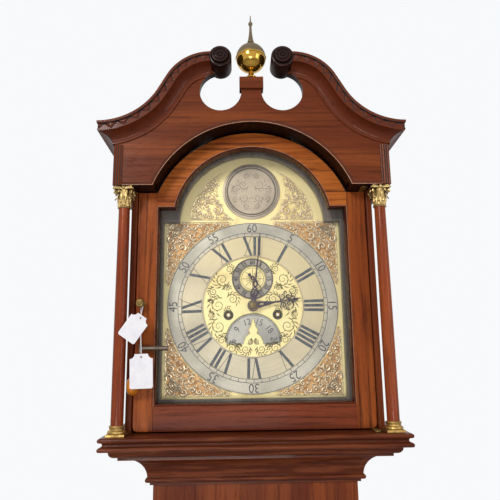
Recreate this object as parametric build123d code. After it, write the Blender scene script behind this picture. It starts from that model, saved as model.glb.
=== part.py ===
from build123d import *
import os
from math import atan2, cos, degrees, hypot, pi, radians, sin, sqrt

os.makedirs("parts", exist_ok=True)

# Eight-day longcase clock with a broken-arch brass dial, a swan-neck hood on free columns,
# a plain trunk with a long door and a plinth base. Millimetres, X right, Y to the back, Z up.
# The origin is on the floor, under the middle of the whole clock.

# Case
FRONT_TO_BACK = 260.0
TRUNK_WIDTH = 312.0
TRUNK_DEPTH = 168.0
TRUNK_BOTTOM = 500.0
HOOD_FLOOR = 1500.0
BOARD = 12.0
BACKBOARD = 10.0
FRONT_FRAME = 16.0
STILE = 40.0
TOP_RAIL = 100.0
BOTTOM_RAIL = 76.0
CHEEK_GAP = 3.0
SEATBOARD = 16.0
BACKBOARD_TOP = 1930.0
GAP = 0.3

# Base
BASE_STEP = 49.0
BASE_BOARD = 16.0
SKIRTING_HEIGHT = 110.0
SKIRTING = 9.0
WAIST_COVE = 46.0

# Hood
HOOD_STEP = 70.0
HOOD_BASE = 19.0
COLUMN_INSET = 22.5
FRIEZE_OVERHANG = 15.5
SOFFIT_DEPTH = 37.0
FRIEZE_BOARD = 14.0
FRIEZE_BOTTOM = 332.0
SIDE_HALF = 196.5
SIDE_BOARD = 10.0
SIDE_FRONT = 35.0
LINING = 8.0
HEADER = 8.0
HEADER_TOP = 415.0
ROOF_BOARD = 8.0
CORNICE_TOP = 430.5
CORNICE_HEIGHT = 33.0
CORNICE_STEP = 24.0
FRIEZE_ARCH_R = 170.0
FRIEZE_ARCH_CENTRE = 268.0

# Swan neck and scroll bosses
NECK_LOWER_R = 108.0
NECK_SLOPE = 60.0
NECK_STRAIGHT = 16.0
NECK_UPPER_R = 88.0
BOSS_X = 50.5
BOSS_Z = 541.0
BOSS_R = 18.5
BOSS_LENGTH = 40.0
BOSS_FACE_R = 13.2
BOSS_FACE = 5.0
LOBE_R = 34.0
LOBE_Z = 492.0
PLINTH_WIDTH = 39.0
PLINTH_TOP = 515.0
PLINTH_HEIGHT = 20.0
PLINTH_STEP = 5.0

# Finial
FINIAL_BALL_R = 24.8
FINIAL_NECK = 12.0
FINIAL_HEIGHT = 116.0
FINIAL_DEPTH = 7.0

# Columns
COLUMN_R = 9.3
COLUMN_TOP_R = 8.6
COLUMN_BASE = 15.5
CAPITAL = 34.5
CAPITAL_WIDTH = 33.0
CARVED_SIDES = 16
BASE_WIDTH = 27.0

# Dial, seen through the mask
SILL = 45.5
DIAL_SETBACK = 22.0
DIAL_HALF = 149.0
DIAL_CENTRE = 148.0
MASK_SHOULDER = 290.0
MASK_ARCH_R = 123.0
MASK_ARCH_CENTRE = 285.5
MASK = 12.0
MASK_GAP = 2.0
DIAL_MARGIN = 5.0
DIAL_PLATE = 3.0
CHAPTER_R = 142.2
CHAPTER_INNER_R = 82.8
CHAPTER = 2.5
SECONDS_Z = 46.0
SECONDS_R = 34.7
SECONDS_INNER_R = 22.1
SECONDS_RING = 1.5
SPANDREL = 3.0
BOSS_DIAL_R = 49.9
BOSS_DIAL_Z = 347.0
WINDING_HOLE_R = 6.5
DATE_R = 47.0
DATE_BELOW = 59.0
DATE_DISC_R = 49.5
DATE_DISC = 1.0
DATE_STUD_R = 2.0
DIAL_FOOT_R = 3.5
DIAL_FEET = ((58.0, 84.0), (58.0, -56.0))

# Hood door
DOOR_HALF = 185.0
DOOR = 20.0
DOOR_BOTTOM_GAP = 2.5
DOOR_TOP_GAP = 1.5
DOOR_ARCH_GAP = 3.5
DOOR_LIGHT_HALF = 151.5
DOOR_LIGHT_BOTTOM = -3.5
DOOR_SHOULDER = 304.5
DOOR_ARCH_R = 127.5
DOOR_ARCH_CENTRE = 280.0
BEAD = 3.0
BEAD_PROUD = 1.5
REBATE = 4.0
REBATE_DEPTH = 5.0
GLASS = 2.5
PIVOT_X = 180.0
PIVOT_FORWARD = 20.0
PIVOT_ARM = 1.6
PIVOT_PIN_R = 2.0
PIVOT_PIN = 4.0
KNOB_X = -176.0
KNOB_Z = 149.0
KNOB_R = 6.7
KNOB_REACH = 18.0
KNOB_STEM_R = 2.6

# Winding crank hung from the knob
STRING_R = 0.7
STRING_SIDES = 6
CRANK_Z = 80.0
CRANK_ARM = 56.0
CRANK_TUBE_R = 3.6
CRANK_TUBE = 40.0
CRANK_ARM_WIDTH = 9.0
CRANK_ARM_ABOVE = 7.0
CRANK_ARM_THICK = 3.0
GRIP_R = 11.0
GRIP = 17.0
TAG_Y = -97.0
TAG_THICK = 0.5
UPPER_TAG = (31.0, 31.0)
UPPER_TAG_AT = (-179.4, 105.0)
UPPER_TAG_TURN = -38.0
LOWER_TAG = (34.0, 50.0)
LOWER_TAG_AT = (-168.0, 47.0)
LOWER_TAG_TURN = 1.5
TAG_HOLE_IN = 4.5

# Trunk door
LIP = 6.0
LIP_CHAMFER = 2.5
TRUNK_DOOR_PROUD = 7.0
TRUNK_DOOR = 18.0
HINGE_LENGTH = 64.0
HINGE_R = 3.0
HINGE_INSET = 120.0

# Movement: plates, trains and motion work
PLATE_GAP = 40.0
PLATE = 3.0
BETWEEN_PLATES = 55.0
PLATE_HALF = 68.0
PLATE_BELOW = 66.0
PLATE_ABOVE = 96.0
PILLAR_R = 4.0
PILLARS = ((-48.0, -60.0), (62.0, -60.0), (-61.0, 88.0), (61.0, 88.0), (0.0, -57.0))
ARBOR_R = 2.0
PIVOT_R = 1.1
WINDING_X = 40.9
WINDING_BELOW = 14.6
WINDING_SQUARE = 5.6
GREAT_TEETH = 96
GREAT_THICK = 3.0
CENTRE_PINION = 8
CENTRE_TEETH = 60
THIRD_PINION = 8
THIRD_TEETH = 56
ESCAPE_PINION = 7
ESCAPE_TEETH = 30
ESCAPE_R = 20.0
THIRD_MODULE = 0.8
CENTRE_MODULE = 0.85
WHEEL_THICK = 2.0
DRUM_R = 20.0
DRUM_LENGTH = 30.0
DRUM_FLANGE_R = 23.0
CANNON_TEETH = 40
MINUTE_PINION = 6
HOUR_TEETH = 72
MOTION_DISTANCE = 32.0
MINUTE_HAND = 122.0
HOUR_HAND = 81.5
MINUTE_ANGLE = -6.5
HOUR_ANGLE = -81.5
SECONDS_ANGLE = -139.0
HAND_THICK = 1.2
STRIKE_GREAT_TEETH = 84
PIN_PINION = 8
PIN_TEETH = 64
PIN_AT = (-47.0, 25.0)
PIN_MODULE = 0.8
WARNING_PINION = 8
WARNING_TEETH = 48
WARNING_AT = (-33.0, 50.2)
WARNING_MODULE = 0.75
FLY_PINION = 6
FLY_AT = (-50.0, 61.2)
FLY_HALF = 14.0
BELL_R = 38.0
BELL_BASE = 108.0
BELL_WALL = 2.0
HAMMER_AT = (-52.0, 82.0)

# Pendulum and anchor
ANCHOR_ABOVE = 28.3
PALLET_CLEAR = 2.6
SUSPENSION_ABOVE = 78.0
PENDULUM = 994.0
PENDULUM_BEHIND = 16.0
ROD_R = 2.5
BOB_R = 50.0
BOB_THICK = 26.0
CRUTCH = 104.0
NUT_R = 9.0

# Weights on gut lines
WEIGHT_R = 30.0
WEIGHT_HEIGHT = 200.0
PULLEY_R = 16.0
PULLEY_THICK = 8.0
PULLEY_BELOW = 74.0
LINE_R = 0.8
KNOT_R = 2.0
STIRRUP = 34.0

# Places worked out from the sizes above
BACK = FRONT_TO_BACK / 2
TRUNK_HALF = TRUNK_WIDTH / 2
TRUNK_FRONT = BACK - TRUNK_DEPTH
BOARD_BACK = BACK - BACKBOARD
HOOD_HALF = TRUNK_HALF + HOOD_STEP
HOOD_FRONT = TRUNK_FRONT - HOOD_STEP
LEDGE = HOOD_FLOOR + HOOD_BASE
DIAL_BOTTOM = LEDGE + SILL
COLUMN_X = HOOD_HALF - COLUMN_INSET
COLUMN_Y = HOOD_FRONT + COLUMN_INSET
FRIEZE_HALF = COLUMN_X + FRIEZE_OVERHANG
FRIEZE_FRONT = COLUMN_Y - FRIEZE_OVERHANG
SOFFIT = DIAL_BOTTOM + FRIEZE_BOTTOM
DOOR_FACE = FRIEZE_FRONT + SOFFIT_DEPTH
DOOR_BACK = DOOR_FACE + DOOR
DIAL_FACE = TRUNK_FRONT + DIAL_SETBACK
MASK_BACK = DIAL_FACE - MASK_GAP
CENTRE_Z = DIAL_BOTTOM + DIAL_CENTRE
SEAT_TOP = CENTRE_Z - PLATE_BELOW
FRONT_PLATE = DIAL_FACE + PLATE_GAP
BACK_PLATE = FRONT_PLATE + PLATE + BETWEEN_PLATES
CORNICE_HALF = FRIEZE_HALF + CORNICE_STEP
CORNICE_FRONT = FRIEZE_FRONT - CORNICE_STEP
BASE_HALF = TRUNK_HALF + BASE_STEP
BASE_FRONT = TRUNK_FRONT - BASE_STEP
FINIAL_Y = FRIEZE_FRONT - PLINTH_STEP + FINIAL_DEPTH


def block(x0, x1, y0, y1, z0, z1):
    """A board between two opposite corners."""
    return Pos((x0 + x1) / 2, (y0 + y1) / 2, (z0 + z1) / 2) * Box(abs(x1 - x0), abs(y1 - y0), abs(z1 - z0))


def both_sides(shape):
    return [shape, mirror(shape, Plane.YZ)]


def upright(outline, front, back):
    """An outline in front view, X across and Z up, cut from a board between two depths."""
    return extrude(Plane.XZ.offset(-back) * outline, back - front)


def face_of(*edges):
    return make_face(Curve() + list(edges))


def disc(x, z, radius, front, back):
    """A round piece whose axis runs front to back."""
    return upright(Pos(x, z) * Circle(radius), front, back)


def turned(*points):
    """A turned piece on the Z axis from its outline of radius and height."""
    outline = [(0, points[0][1]), *points, (0, points[-1][1])]
    return revolve(Plane.XZ * make_face(Polyline(*outline, close=True)), Axis.Z)


def faceted(*points):
    """A piece carved with flat sides, from its outline of radius and height."""
    rings = [Plane.XY.offset(height) * RegularPolygon(radius, CARVED_SIDES) for radius, height in points]
    return loft(rings, ruled=True)


def turned_forward(*points):
    """A turned piece on the Y axis from its outline of radius and distance forward."""
    return Rot(90, 0, 0) * turned(*points)


def arch_light(half, bottom, shoulder, radius, centre):
    """A square opening with an arch of smaller span on its top edge."""
    square = Pos(0, (bottom + shoulder) / 2) * Rectangle(2 * half, shoulder - bottom)
    span = sqrt(radius ** 2 - (shoulder - centre) ** 2)
    arch = face_of(
        ThreePointArc((-span, shoulder), (0, centre + radius), (span, shoulder)),
        Line((span, shoulder), (span, shoulder - 1)),
        Line((span, shoulder - 1), (-span, shoulder - 1)),
        Line((-span, shoulder - 1), (-span, shoulder)),
    )
    return square + arch


def moulding(profile, half, front, back, z):
    """A moulding round the two sides and the front, mitred at the corners."""
    route = Polyline((-half, back, z), (-half, front, z), (half, front, z), (half, back, z))
    start = Plane(origin=(-half, back, z), x_dir=(-1, 0, 0), z_dir=(0, 1, 0))
    return sweep(start * profile, path=route, transition=Transition.RIGHT)


def save(name, *solids):
    pieces = []
    for item in solids:
        pieces += item if isinstance(item, list) else [item]
    shape = pieces[0] if len(pieces) == 1 else Compound(children=pieces)
    export_step(shape, f"parts/{name}.step")


# Trunk and base of the case

def backboard():
    half = SIDE_HALF - SIDE_BOARD - GAP * 5
    low = block(-BASE_HALF + BASE_BOARD, BASE_HALF - BASE_BOARD, BOARD_BACK, BACK, 0, TRUNK_BOTTOM)
    tall = block(-TRUNK_HALF, TRUNK_HALF, BOARD_BACK, BACK, TRUNK_BOTTOM, BACKBOARD_TOP)
    ears = block(-half, half, BOARD_BACK, BACK, LEDGE + 3, BACKBOARD_TOP)
    return low + tall + ears


def trunk_sides():
    """Side boards whose upper ends carry the seatboard inside the hood."""
    inner = TRUNK_HALF - BOARD
    board = block(inner, TRUNK_HALF, TRUNK_FRONT + FRONT_FRAME, BOARD_BACK, TRUNK_BOTTOM, HOOD_FLOOR)
    front = DIAL_FACE + DIAL_PLATE + CHEEK_GAP
    cheek = block(inner, TRUNK_HALF, front, BOARD_BACK, HOOD_FLOOR, SEAT_TOP - SEATBOARD)
    return both_sides(board + cheek)


def trunk_front():
    back = TRUNK_FRONT + FRONT_FRAME
    stile = block(TRUNK_HALF - STILE, TRUNK_HALF, TRUNK_FRONT, back, TRUNK_BOTTOM, HOOD_FLOOR)
    inner = TRUNK_HALF - STILE
    top = block(-inner, inner, TRUNK_FRONT, back, HOOD_FLOOR - TOP_RAIL, HOOD_FLOOR)
    bottom = block(-inner, inner, TRUNK_FRONT, back, TRUNK_BOTTOM, TRUNK_BOTTOM + BOTTOM_RAIL)
    return [*both_sides(stile), top, bottom]


def throat_profile():
    """Ovolo, fillet, cove and astragal under the hood, from the top down."""
    ovolo, fillet, cove_top, cove_foot, bead = 57.0, 45.5, 45.5, 8.0, 9.5
    return face_of(
        Line((0, 0), (ovolo, 0)),
        Line((ovolo, 0), (ovolo, -1.5)),
        ThreePointArc((ovolo, -1.5), (ovolo - 2.6, -8), (ovolo - 9, -10.5)),
        Line((ovolo - 9, -10.5), (fillet, -10.5)),
        Line((fillet, -10.5), (cove_top, -15.0)),
        ThreePointArc((cove_top, -15.0), (18.5, -23.5), (cove_foot, -46.0)),
        Line((cove_foot, -46.0), (cove_foot, -46.5)),
        ThreePointArc((cove_foot, -46.5), (bead + 1.5, -50.2), (cove_foot, -54.0)),
        Line((cove_foot, -54.0), (4.5, -54.0)),
        Line((4.5, -54.0), (4.5, -58.0)),
        Line((4.5, -58.0), (0, -58.0)),
        Line((0, -58.0), (0, 0)),
    )


def waist_profile():
    """Cove with a fillet and a bead where the trunk meets the base."""
    foot = BASE_STEP + 4
    return face_of(
        Line((0, 0), (foot - 2, 0)),
        ThreePointArc((foot - 2, 0), (foot + 1.5, 4.5), (foot - 2, 9)),
        Line((foot - 2, 9), (foot - 5, 9)),
        ThreePointArc((foot - 5, 9), (15, 22), (4, 9 + WAIST_COVE)),
        Line((4, 9 + WAIST_COVE), (4, 14 + WAIST_COVE)),
        Line((4, 14 + WAIST_COVE), (0, 14 + WAIST_COVE)),
        Line((0, 14 + WAIST_COVE), (0, 0)),
    )


def skirting_profile():
    top = SKIRTING_HEIGHT
    return face_of(
        Line((0, 0), (SKIRTING, 0)),
        Line((SKIRTING, 0), (SKIRTING, top - 12)),
        ThreePointArc((SKIRTING, top - 12), (4.2, top - 7), (3, top)),
        Line((3, top), (0, top)),
        Line((0, top), (0, 0)),
    )


def base_box():
    """Front panel, two sides and a floor board that ties them."""
    top = TRUNK_BOTTOM
    inner = BASE_HALF - BASE_BOARD
    front = block(-BASE_HALF, BASE_HALF, BASE_FRONT, BASE_FRONT + BASE_BOARD, 0, top)
    side = block(inner, BASE_HALF, BASE_FRONT + BASE_BOARD, BACK, 0, top)
    floor = block(-inner, inner, BASE_FRONT + BASE_BOARD, BOARD_BACK, SKIRTING, SKIRTING + BOARD)
    ledge = block(-inner, inner, BASE_FRONT + BASE_BOARD, TRUNK_FRONT + FRONT_FRAME, top - BOARD, top)
    return [front, *both_sides(side), floor, ledge]


def seatboard():
    """Shelf for the movement, slotted for the gut lines and notched for the pendulum."""
    low = SEAT_TOP - SEATBOARD
    front = FRONT_PLATE - 10
    board = block(-TRUNK_HALF, TRUNK_HALF, front, BOARD_BACK, low, SEAT_TOP)
    middle = drum_middle()
    slot = DRUM_LENGTH / 2 + 4
    for side in (-1, 1):
        x = line_x(side)
        board -= block(x - 6, x + 6, middle - slot, middle + slot, low, SEAT_TOP)
        board -= Pos(x + 2 * PULLEY_R, middle, (low + SEAT_TOP) / 2) * Cylinder(LINE_R, SEATBOARD)
    board -= block(-26, 26, BACK_PLATE + 8, BOARD_BACK, low, SEAT_TOP)
    return board


def trunk_door_size():
    inner = TRUNK_HALF - STILE
    return inner, TRUNK_BOTTOM + BOTTOM_RAIL, HOOD_FLOOR - TOP_RAIL


def trunk_door():
    """Door panel in its opening, with a rounded lip that laps the frame."""
    inner, low, high = trunk_door_size()
    panel = block(-inner + 1, inner - 1, TRUNK_FRONT - GAP, TRUNK_FRONT + TRUNK_DOOR - TRUNK_DOOR_PROUD, low + 1, high - 1)
    face = TRUNK_FRONT - GAP - TRUNK_DOOR_PROUD
    lip = block(-inner - LIP, inner + LIP, face, TRUNK_FRONT - GAP, low - LIP, high + LIP)
    lip = chamfer(lip.edges().group_by(Axis.Y)[0], LIP_CHAMFER)
    return panel + lip


def hinge_heights():
    _, low, high = trunk_door_size()
    return low + HINGE_INSET, high - HINGE_INSET - HINGE_LENGTH


def hinge_axis():
    inner, _, _ = trunk_door_size()
    return inner + LIP + GAP + HINGE_R, TRUNK_FRONT - HINGE_R - GAP - 1


def trunk_fittings():
    """Brass knuckles on the door's edge, the lock's escutcheon and the bolt."""
    x, y = hinge_axis()
    inner, low, high = trunk_door_size()
    pieces = []
    for z in hinge_heights():
        third = HINGE_LENGTH / 3
        knuckle = Pos(x, y, z + HINGE_LENGTH / 2) * Cylinder(HINGE_R, third - 0.4)
        leaf = block(inner + LIP, x, y - 0.75, y + 0.75, z + third + 0.2, z + 2 * third - 0.2)
        pieces.append(knuckle + leaf)
    face = TRUNK_FRONT - GAP - TRUNK_DOOR_PROUD
    middle = (low + high) / 2 + 60
    plate = upright(Pos(-inner + 12, middle) * (Ellipse(7, 12) - Circle(2) - Pos(0, -4) * Rectangle(2, 6)), face - 1, face)
    return [*pieces, plate]


def trunk_hinge_leaves():
    x, y = hinge_axis()
    pieces = []
    for z in hinge_heights():
        third = HINGE_LENGTH / 3
        for start in (z, z + 2 * third):
            knuckle = Pos(x, y, start + third / 2) * Cylinder(HINGE_R, third - 0.4)
            leaf = block(x, x + 12, TRUNK_FRONT - 1, TRUNK_FRONT, start + 0.2, start + third - 0.2)
            web = block(x - 0.75, x + 0.75, y, TRUNK_FRONT, start + 0.2, start + third - 0.2)
            pieces.append(knuckle + leaf + web)
    return pieces


# Hood

def hood_base_profile():
    """Two half-round beads with a hollow between them, measured from the inside line."""
    inner = HOOD_STEP - 1
    bead = HOOD_BASE / 3
    return face_of(
        Line((1, 0), (inner - bead / 2, 0)),
        ThreePointArc((inner - bead / 2, 0), (inner + 1, bead / 2), (inner - bead / 2, bead)),
        ThreePointArc((inner - bead / 2, bead), (inner - bead * 0.8, bead * 1.5), (inner - bead / 2, bead * 2)),
        ThreePointArc((inner - bead / 2, bead * 2), (inner + 1, bead * 2.5), (inner - bead / 2, bead * 3)),
        Line((inner - bead / 2, bead * 3), (1, bead * 3)),
        Line((1, bead * 3), (1, 0)),
    )


def pivot_hole(z):
    """Bearing for a pin of the hood door in a board whose face is at this height."""
    hole = Cylinder(PIVOT_PIN_R + GAP / 2, 2 * PIVOT_PIN + 1)
    return Pos(PIVOT_X, DOOR_FACE - PIVOT_FORWARD, z) * hole


def hood_base():
    base = moulding(hood_base_profile(), TRUNK_HALF, TRUNK_FRONT, BACK, HOOD_FLOOR)
    sill = block(-TRUNK_HALF - 1, TRUNK_HALF + 1, TRUNK_FRONT - 1, MASK_BACK, HOOD_FLOOR + GAP, LEDGE)
    return base + sill - pivot_hole(LEDGE)


def hood_sides():
    front = DOOR_FACE - 2
    board = block(SIDE_HALF - SIDE_BOARD, SIDE_HALF, front, BACK - 2, LEDGE, SOFFIT)
    board = fillet(board.edges().filter_by(Axis.Z).group_by(Axis.Y)[0], 3)
    return both_sides(board)


def hood_mask():
    half = SIDE_HALF - SIDE_BOARD
    light = arch_light(DIAL_HALF, 0, MASK_SHOULDER, MASK_ARCH_R, MASK_ARCH_CENTRE)
    outer = Pos(0, (HEADER_TOP - 1 - SILL) / 2) * Rectangle(2 * half, HEADER_TOP - 1 + SILL)
    return upright(Pos(0, DIAL_BOTTOM) * (outer - light), MASK_BACK - MASK, MASK_BACK)


def frieze_arch(radius, extra=0.0):
    """Region above the soffit that the arch leaves open."""
    circle = Pos(0, FRIEZE_ARCH_CENTRE) * Circle(radius)
    return circle - Pos(0, FRIEZE_BOTTOM - 400 - extra) * Rectangle(900, 800)


def neck_points():
    """Joints of the left swan neck's top line, from the corner of the hood up to the boss."""
    slope = radians(NECK_SLOPE)
    start = (-CORNICE_HALF, CORNICE_TOP)
    lower = (start[0] + NECK_LOWER_R * sin(slope), start[1] + NECK_LOWER_R * (1 - cos(slope)))
    upper = (lower[0] + NECK_STRAIGHT * cos(slope), lower[1] + NECK_STRAIGHT * sin(slope))
    end = (upper[0] + NECK_UPPER_R * sin(slope), upper[1] + NECK_UPPER_R * (1 - cos(slope)))
    return start, lower, upper, end


def neck_line(drop=0.0):
    """Top line of the left swan neck, or a line parallel to it and lower by a drop."""
    start, lower, upper, end = neck_points()
    slope = radians(NECK_SLOPE)
    half = slope / 2
    low_r = NECK_LOWER_R + drop
    top_r = NECK_UPPER_R - drop
    low_centre = (start[0], start[1] + NECK_LOWER_R)
    top_centre = (end[0], end[1] - NECK_UPPER_R)
    at_low = lambda a: (low_centre[0] + low_r * sin(a), low_centre[1] - low_r * cos(a))
    at_top = lambda a: (top_centre[0] - top_r * sin(a), top_centre[1] + top_r * cos(a))
    return [
        ThreePointArc(at_low(0), at_low(half), at_low(slope)),
        Line(at_low(slope), at_top(slope)),
        ThreePointArc(at_top(slope), at_top(half), at_top(0)),
    ]


def boss_cylinder(x):
    return disc(x, DIAL_BOTTOM + BOSS_Z, BOSS_R, CORNICE_FRONT, CORNICE_FRONT + BOSS_LENGTH)


def lobe_cutter(x):
    return disc(x, DIAL_BOTTOM + LOBE_Z, LOBE_R, CORNICE_FRONT - 1, BACK)


def tympanum_outline():
    """Front board under the swan necks, with its arch, its two round lobes and the middle neck."""
    edge = neck_line(drop=3.0)
    first = edge[0] @ 0
    last = edge[-1] @ 1
    left = face_of(
        *edge,
        Line(last, (-BOSS_X, last.Y)),
        Line((-BOSS_X, last.Y), (-BOSS_X, LOBE_Z)),
        Line((-BOSS_X, LOBE_Z), (0, LOBE_Z)),
        Line((0, LOBE_Z), (0, FRIEZE_BOTTOM)),
        Line((0, FRIEZE_BOTTOM), (first.X, FRIEZE_BOTTOM)),
        Line((first.X, FRIEZE_BOTTOM), first),
    )
    left -= Pos(first.X - 50 + CORNICE_STEP, FRIEZE_BOTTOM) * Rectangle(100, 600)
    board = left + mirror(left, Plane.YZ)
    board += Pos(0, (LOBE_Z + PLINTH_TOP) / 2) * Rectangle(PLINTH_WIDTH, PLINTH_TOP - LOBE_Z)
    board -= frieze_arch(FRIEZE_ARCH_R, 10)
    for x in (-BOSS_X, BOSS_X):
        board -= Pos(x, LOBE_Z) * Circle(LOBE_R)
        board -= Pos(x, BOSS_Z) * Circle(BOSS_R)
    return board


def hood_tympanum():
    board = upright(Pos(0, DIAL_BOTTOM) * tympanum_outline(), FRIEZE_FRONT, FRIEZE_FRONT + FRIEZE_BOARD)
    half = PLINTH_WIDTH / 2
    top = DIAL_BOTTOM + PLINTH_TOP
    plinth = block(-half, half, FRIEZE_FRONT - PLINTH_STEP, FRIEZE_FRONT + FRIEZE_BOARD, top - PLINTH_HEIGHT, top)
    return board + plinth


def hood_soffit():
    """Boards that close the frieze from below and line its arch, and the header over the door."""
    front = FRIEZE_FRONT + FRIEZE_BOARD
    span = sqrt(FRIEZE_ARCH_R ** 2 - (FRIEZE_BOTTOM - FRIEZE_ARCH_CENTRE) ** 2)
    side = FRIEZE_HALF - FRIEZE_BOARD
    ring = frieze_arch(FRIEZE_ARCH_R + LINING) - frieze_arch(FRIEZE_ARCH_R, 10)
    ring -= Pos(0, FRIEZE_BOTTOM) * Rectangle(900, 2 * LINING)
    lining = upright(Pos(0, DIAL_BOTTOM) * ring, front, DOOR_FACE)
    board = block(span, side, front, DOOR_FACE, SOFFIT, SOFFIT + LINING)
    right = board - pivot_hole(SOFFIT)
    strip = block(SIDE_HALF, side, DOOR_FACE, BACK - 2, SOFFIT, SOFFIT + LINING)
    header = Pos(0, (SIDE_BOARD + HEADER_TOP + FRIEZE_BOTTOM) / 2) * Rectangle(2 * SIDE_HALF, HEADER_TOP + SIDE_BOARD - FRIEZE_BOTTOM)
    header -= frieze_arch(FRIEZE_ARCH_R + 1, 10)
    cover = upright(Pos(0, DIAL_BOTTOM) * header, DOOR_FACE, DOOR_FACE + HEADER)
    return [lining, mirror(board, Plane.YZ), right, *both_sides(strip), cover]


def hood_friezes():
    """Side frieze boards, the flat roof between them and its raised part over the door's arch."""
    top = DIAL_BOTTOM + HEADER_TOP + SIDE_BOARD
    back = BACK - 2
    inner = FRIEZE_HALF - FRIEZE_BOARD
    side = block(inner, FRIEZE_HALF, FRIEZE_FRONT + FRIEZE_BOARD, back, SOFFIT, top + ROOF_BOARD)
    step = DOOR_BACK + 2
    roof = block(-inner, inner, step, back, top, top + ROOF_BOARD)
    crown = DIAL_BOTTOM + FRIEZE_ARCH_CENTRE + FRIEZE_ARCH_R + LINING
    front = FRIEZE_FRONT + FRIEZE_BOARD
    half = FRIEZE_ARCH_R + 2
    roof += block(-half, half, front, step + ROOF_BOARD, crown, crown + ROOF_BOARD)
    roof += block(-half, half, step, step + ROOF_BOARD, top, crown)
    for x in (-half, half - ROOF_BOARD):
        roof += block(x, x + ROOF_BOARD, front, step, top, crown)
    return [*both_sides(side), roof]


def cornice_profile():
    """Fillet, carved band and cove; X stands forward, Y is down from the top line."""
    out = CORNICE_STEP
    high = CORNICE_HEIGHT
    band = out - 1.5
    return face_of(
        Line((0, 0), (out, 0)),
        Line((out, 0), (out, -4.5)),
        Line((out, -4.5), (band, -4.5)),
        Line((band, -4.5), (band, -16.5)),
        ThreePointArc((band, -16.5), (8, -21), (2.5, -high + 2)),
        Line((2.5, -high + 2), (2.5, -high)),
        Line((2.5, -high), (0, -high)),
        Line((0, -high), (0, 0)),
    )


def swan_necks():
    """Raking moulding with its ogee line, mitred to the straight returns along the sides."""
    start, _, _, _ = neck_points()
    origin = (start[0], FRIEZE_FRONT, DIAL_BOTTOM + start[1])
    path = Plane.XZ.offset(-FRIEZE_FRONT) * (Pos(0, DIAL_BOTTOM) * (Curve() + neck_line()))
    section = Plane(origin=origin, x_dir=(0, -1, 0), z_dir=(-1, 0, 0)) * cornice_profile()
    rake = sweep(section, path=path)
    corner = (-FRIEZE_HALF, FRIEZE_FRONT)
    reach = 2 * CORNICE_STEP
    front_side = Polyline(
        (corner[0] - reach, corner[1] - reach), (corner[0] + reach, corner[1] + reach),
        (0, corner[1] + reach), (0, corner[1] - reach), close=True,
    )
    prism = extrude(Plane.XY.offset(LEDGE) * make_face(front_side), 900)
    rake = rake & prism
    rake -= boss_cylinder(-BOSS_X)
    rake -= lobe_cutter(-BOSS_X)
    line = DIAL_BOTTOM + CORNICE_TOP
    profile_plane = Plane(origin=(-FRIEZE_HALF, BACK - 2, line), x_dir=(-1, 0, 0), z_dir=(0, 1, 0))
    length = BACK - 2 - FRIEZE_FRONT + 2 * CORNICE_STEP
    run = extrude(profile_plane * cornice_profile(), -length)
    side_part = Polyline(
        (corner[0] - reach, corner[1] - reach), (corner[0] + reach, corner[1] + reach),
        (corner[0] + reach, BACK), (corner[0] - reach, BACK), close=True,
    )
    run = run & extrude(Plane.XY.offset(LEDGE) * make_face(side_part), 900)
    return [*both_sides(rake), *both_sides(run)]


def scroll_boss():
    """Turned boss in the scroll of each neck, with a smaller stepped face."""
    length = BOSS_LENGTH
    return turned_forward(
        (BOSS_R, -length), (BOSS_R, -2), (BOSS_R - 2, 0), (BOSS_FACE_R, 0),
        (BOSS_FACE_R, BOSS_FACE - 1.5), (BOSS_FACE_R - 1.5, BOSS_FACE),
    )


def scroll_bosses():
    return [Pos(x, CORNICE_FRONT, DIAL_BOTTOM + BOSS_Z) * scroll_boss() for x in (-BOSS_X, BOSS_X)]


def column_shafts():
    low = LEDGE + COLUMN_BASE
    high = SOFFIT - CAPITAL
    shaft = Pos(0, 0, low) * turned((COLUMN_R, 0), (COLUMN_R, (high - low) / 3), (COLUMN_TOP_R, high - low))
    return [Pos(x, COLUMN_Y, 0) * shaft for x in (-COLUMN_X, COLUMN_X)]


def acanthus(height, reach, width):
    """One leaf that stands against the bell and curls outwards at its tip."""
    root = -3.0
    side = make_face(Polyline(
        (root, 0), (1.0, 0), (1.8, height * 0.5), (reach * 0.7, height * 0.8), (reach, height * 0.84),
        (reach * 0.9, height), (reach * 0.3, height * 0.9), (root, height * 0.8), close=True,
    ))
    return Pos(0, width / 2, 0) * extrude(Plane.XZ * side, width)


def capital():
    """Corinthian capital: collar, bell, two rows of leaves and a hollow-sided abacus."""
    half = CAPITAL_WIDTH / 2
    bell = faceted(
        (COLUMN_TOP_R + 1.6, 0), (COLUMN_TOP_R + 1.6, 2.5), (COLUMN_TOP_R + 0.6, 3.5),
        (COLUMN_TOP_R + 1, 16), (COLUMN_TOP_R + 4, CAPITAL - 5.5),
    )
    for row, (base, height, reach, turn) in enumerate(((3.0, 13.0, 4.2, 0), (8.0, 19.0, 6.4, 22.5))):
        for i in range(8):
            leaf = Pos(COLUMN_TOP_R + 0.4, 0, base) * acanthus(height, reach, 5.0 - row)
            bell += Rot(0, 0, turn + 45 * i) * leaf
    hollow = 2.2
    corner = half - 2.0
    side = lambda a: Rot(0, 0, a) * (Curve() + [
        Line((half, -corner), (half, -corner + 3)),
        ThreePointArc((half, -corner + 3), (half - hollow, 0), (half, corner - 3)),
        Line((half, corner - 3), (half, corner)),
        Line((half, corner), (corner, half)),
    ])
    outline = Curve() + [edge for a in (0, 90, 180, 270) for edge in side(a).edges()]
    abacus = extrude(Plane.XY.offset(CAPITAL - 5.5) * make_face(outline), 5.5)
    return bell + abacus


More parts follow.
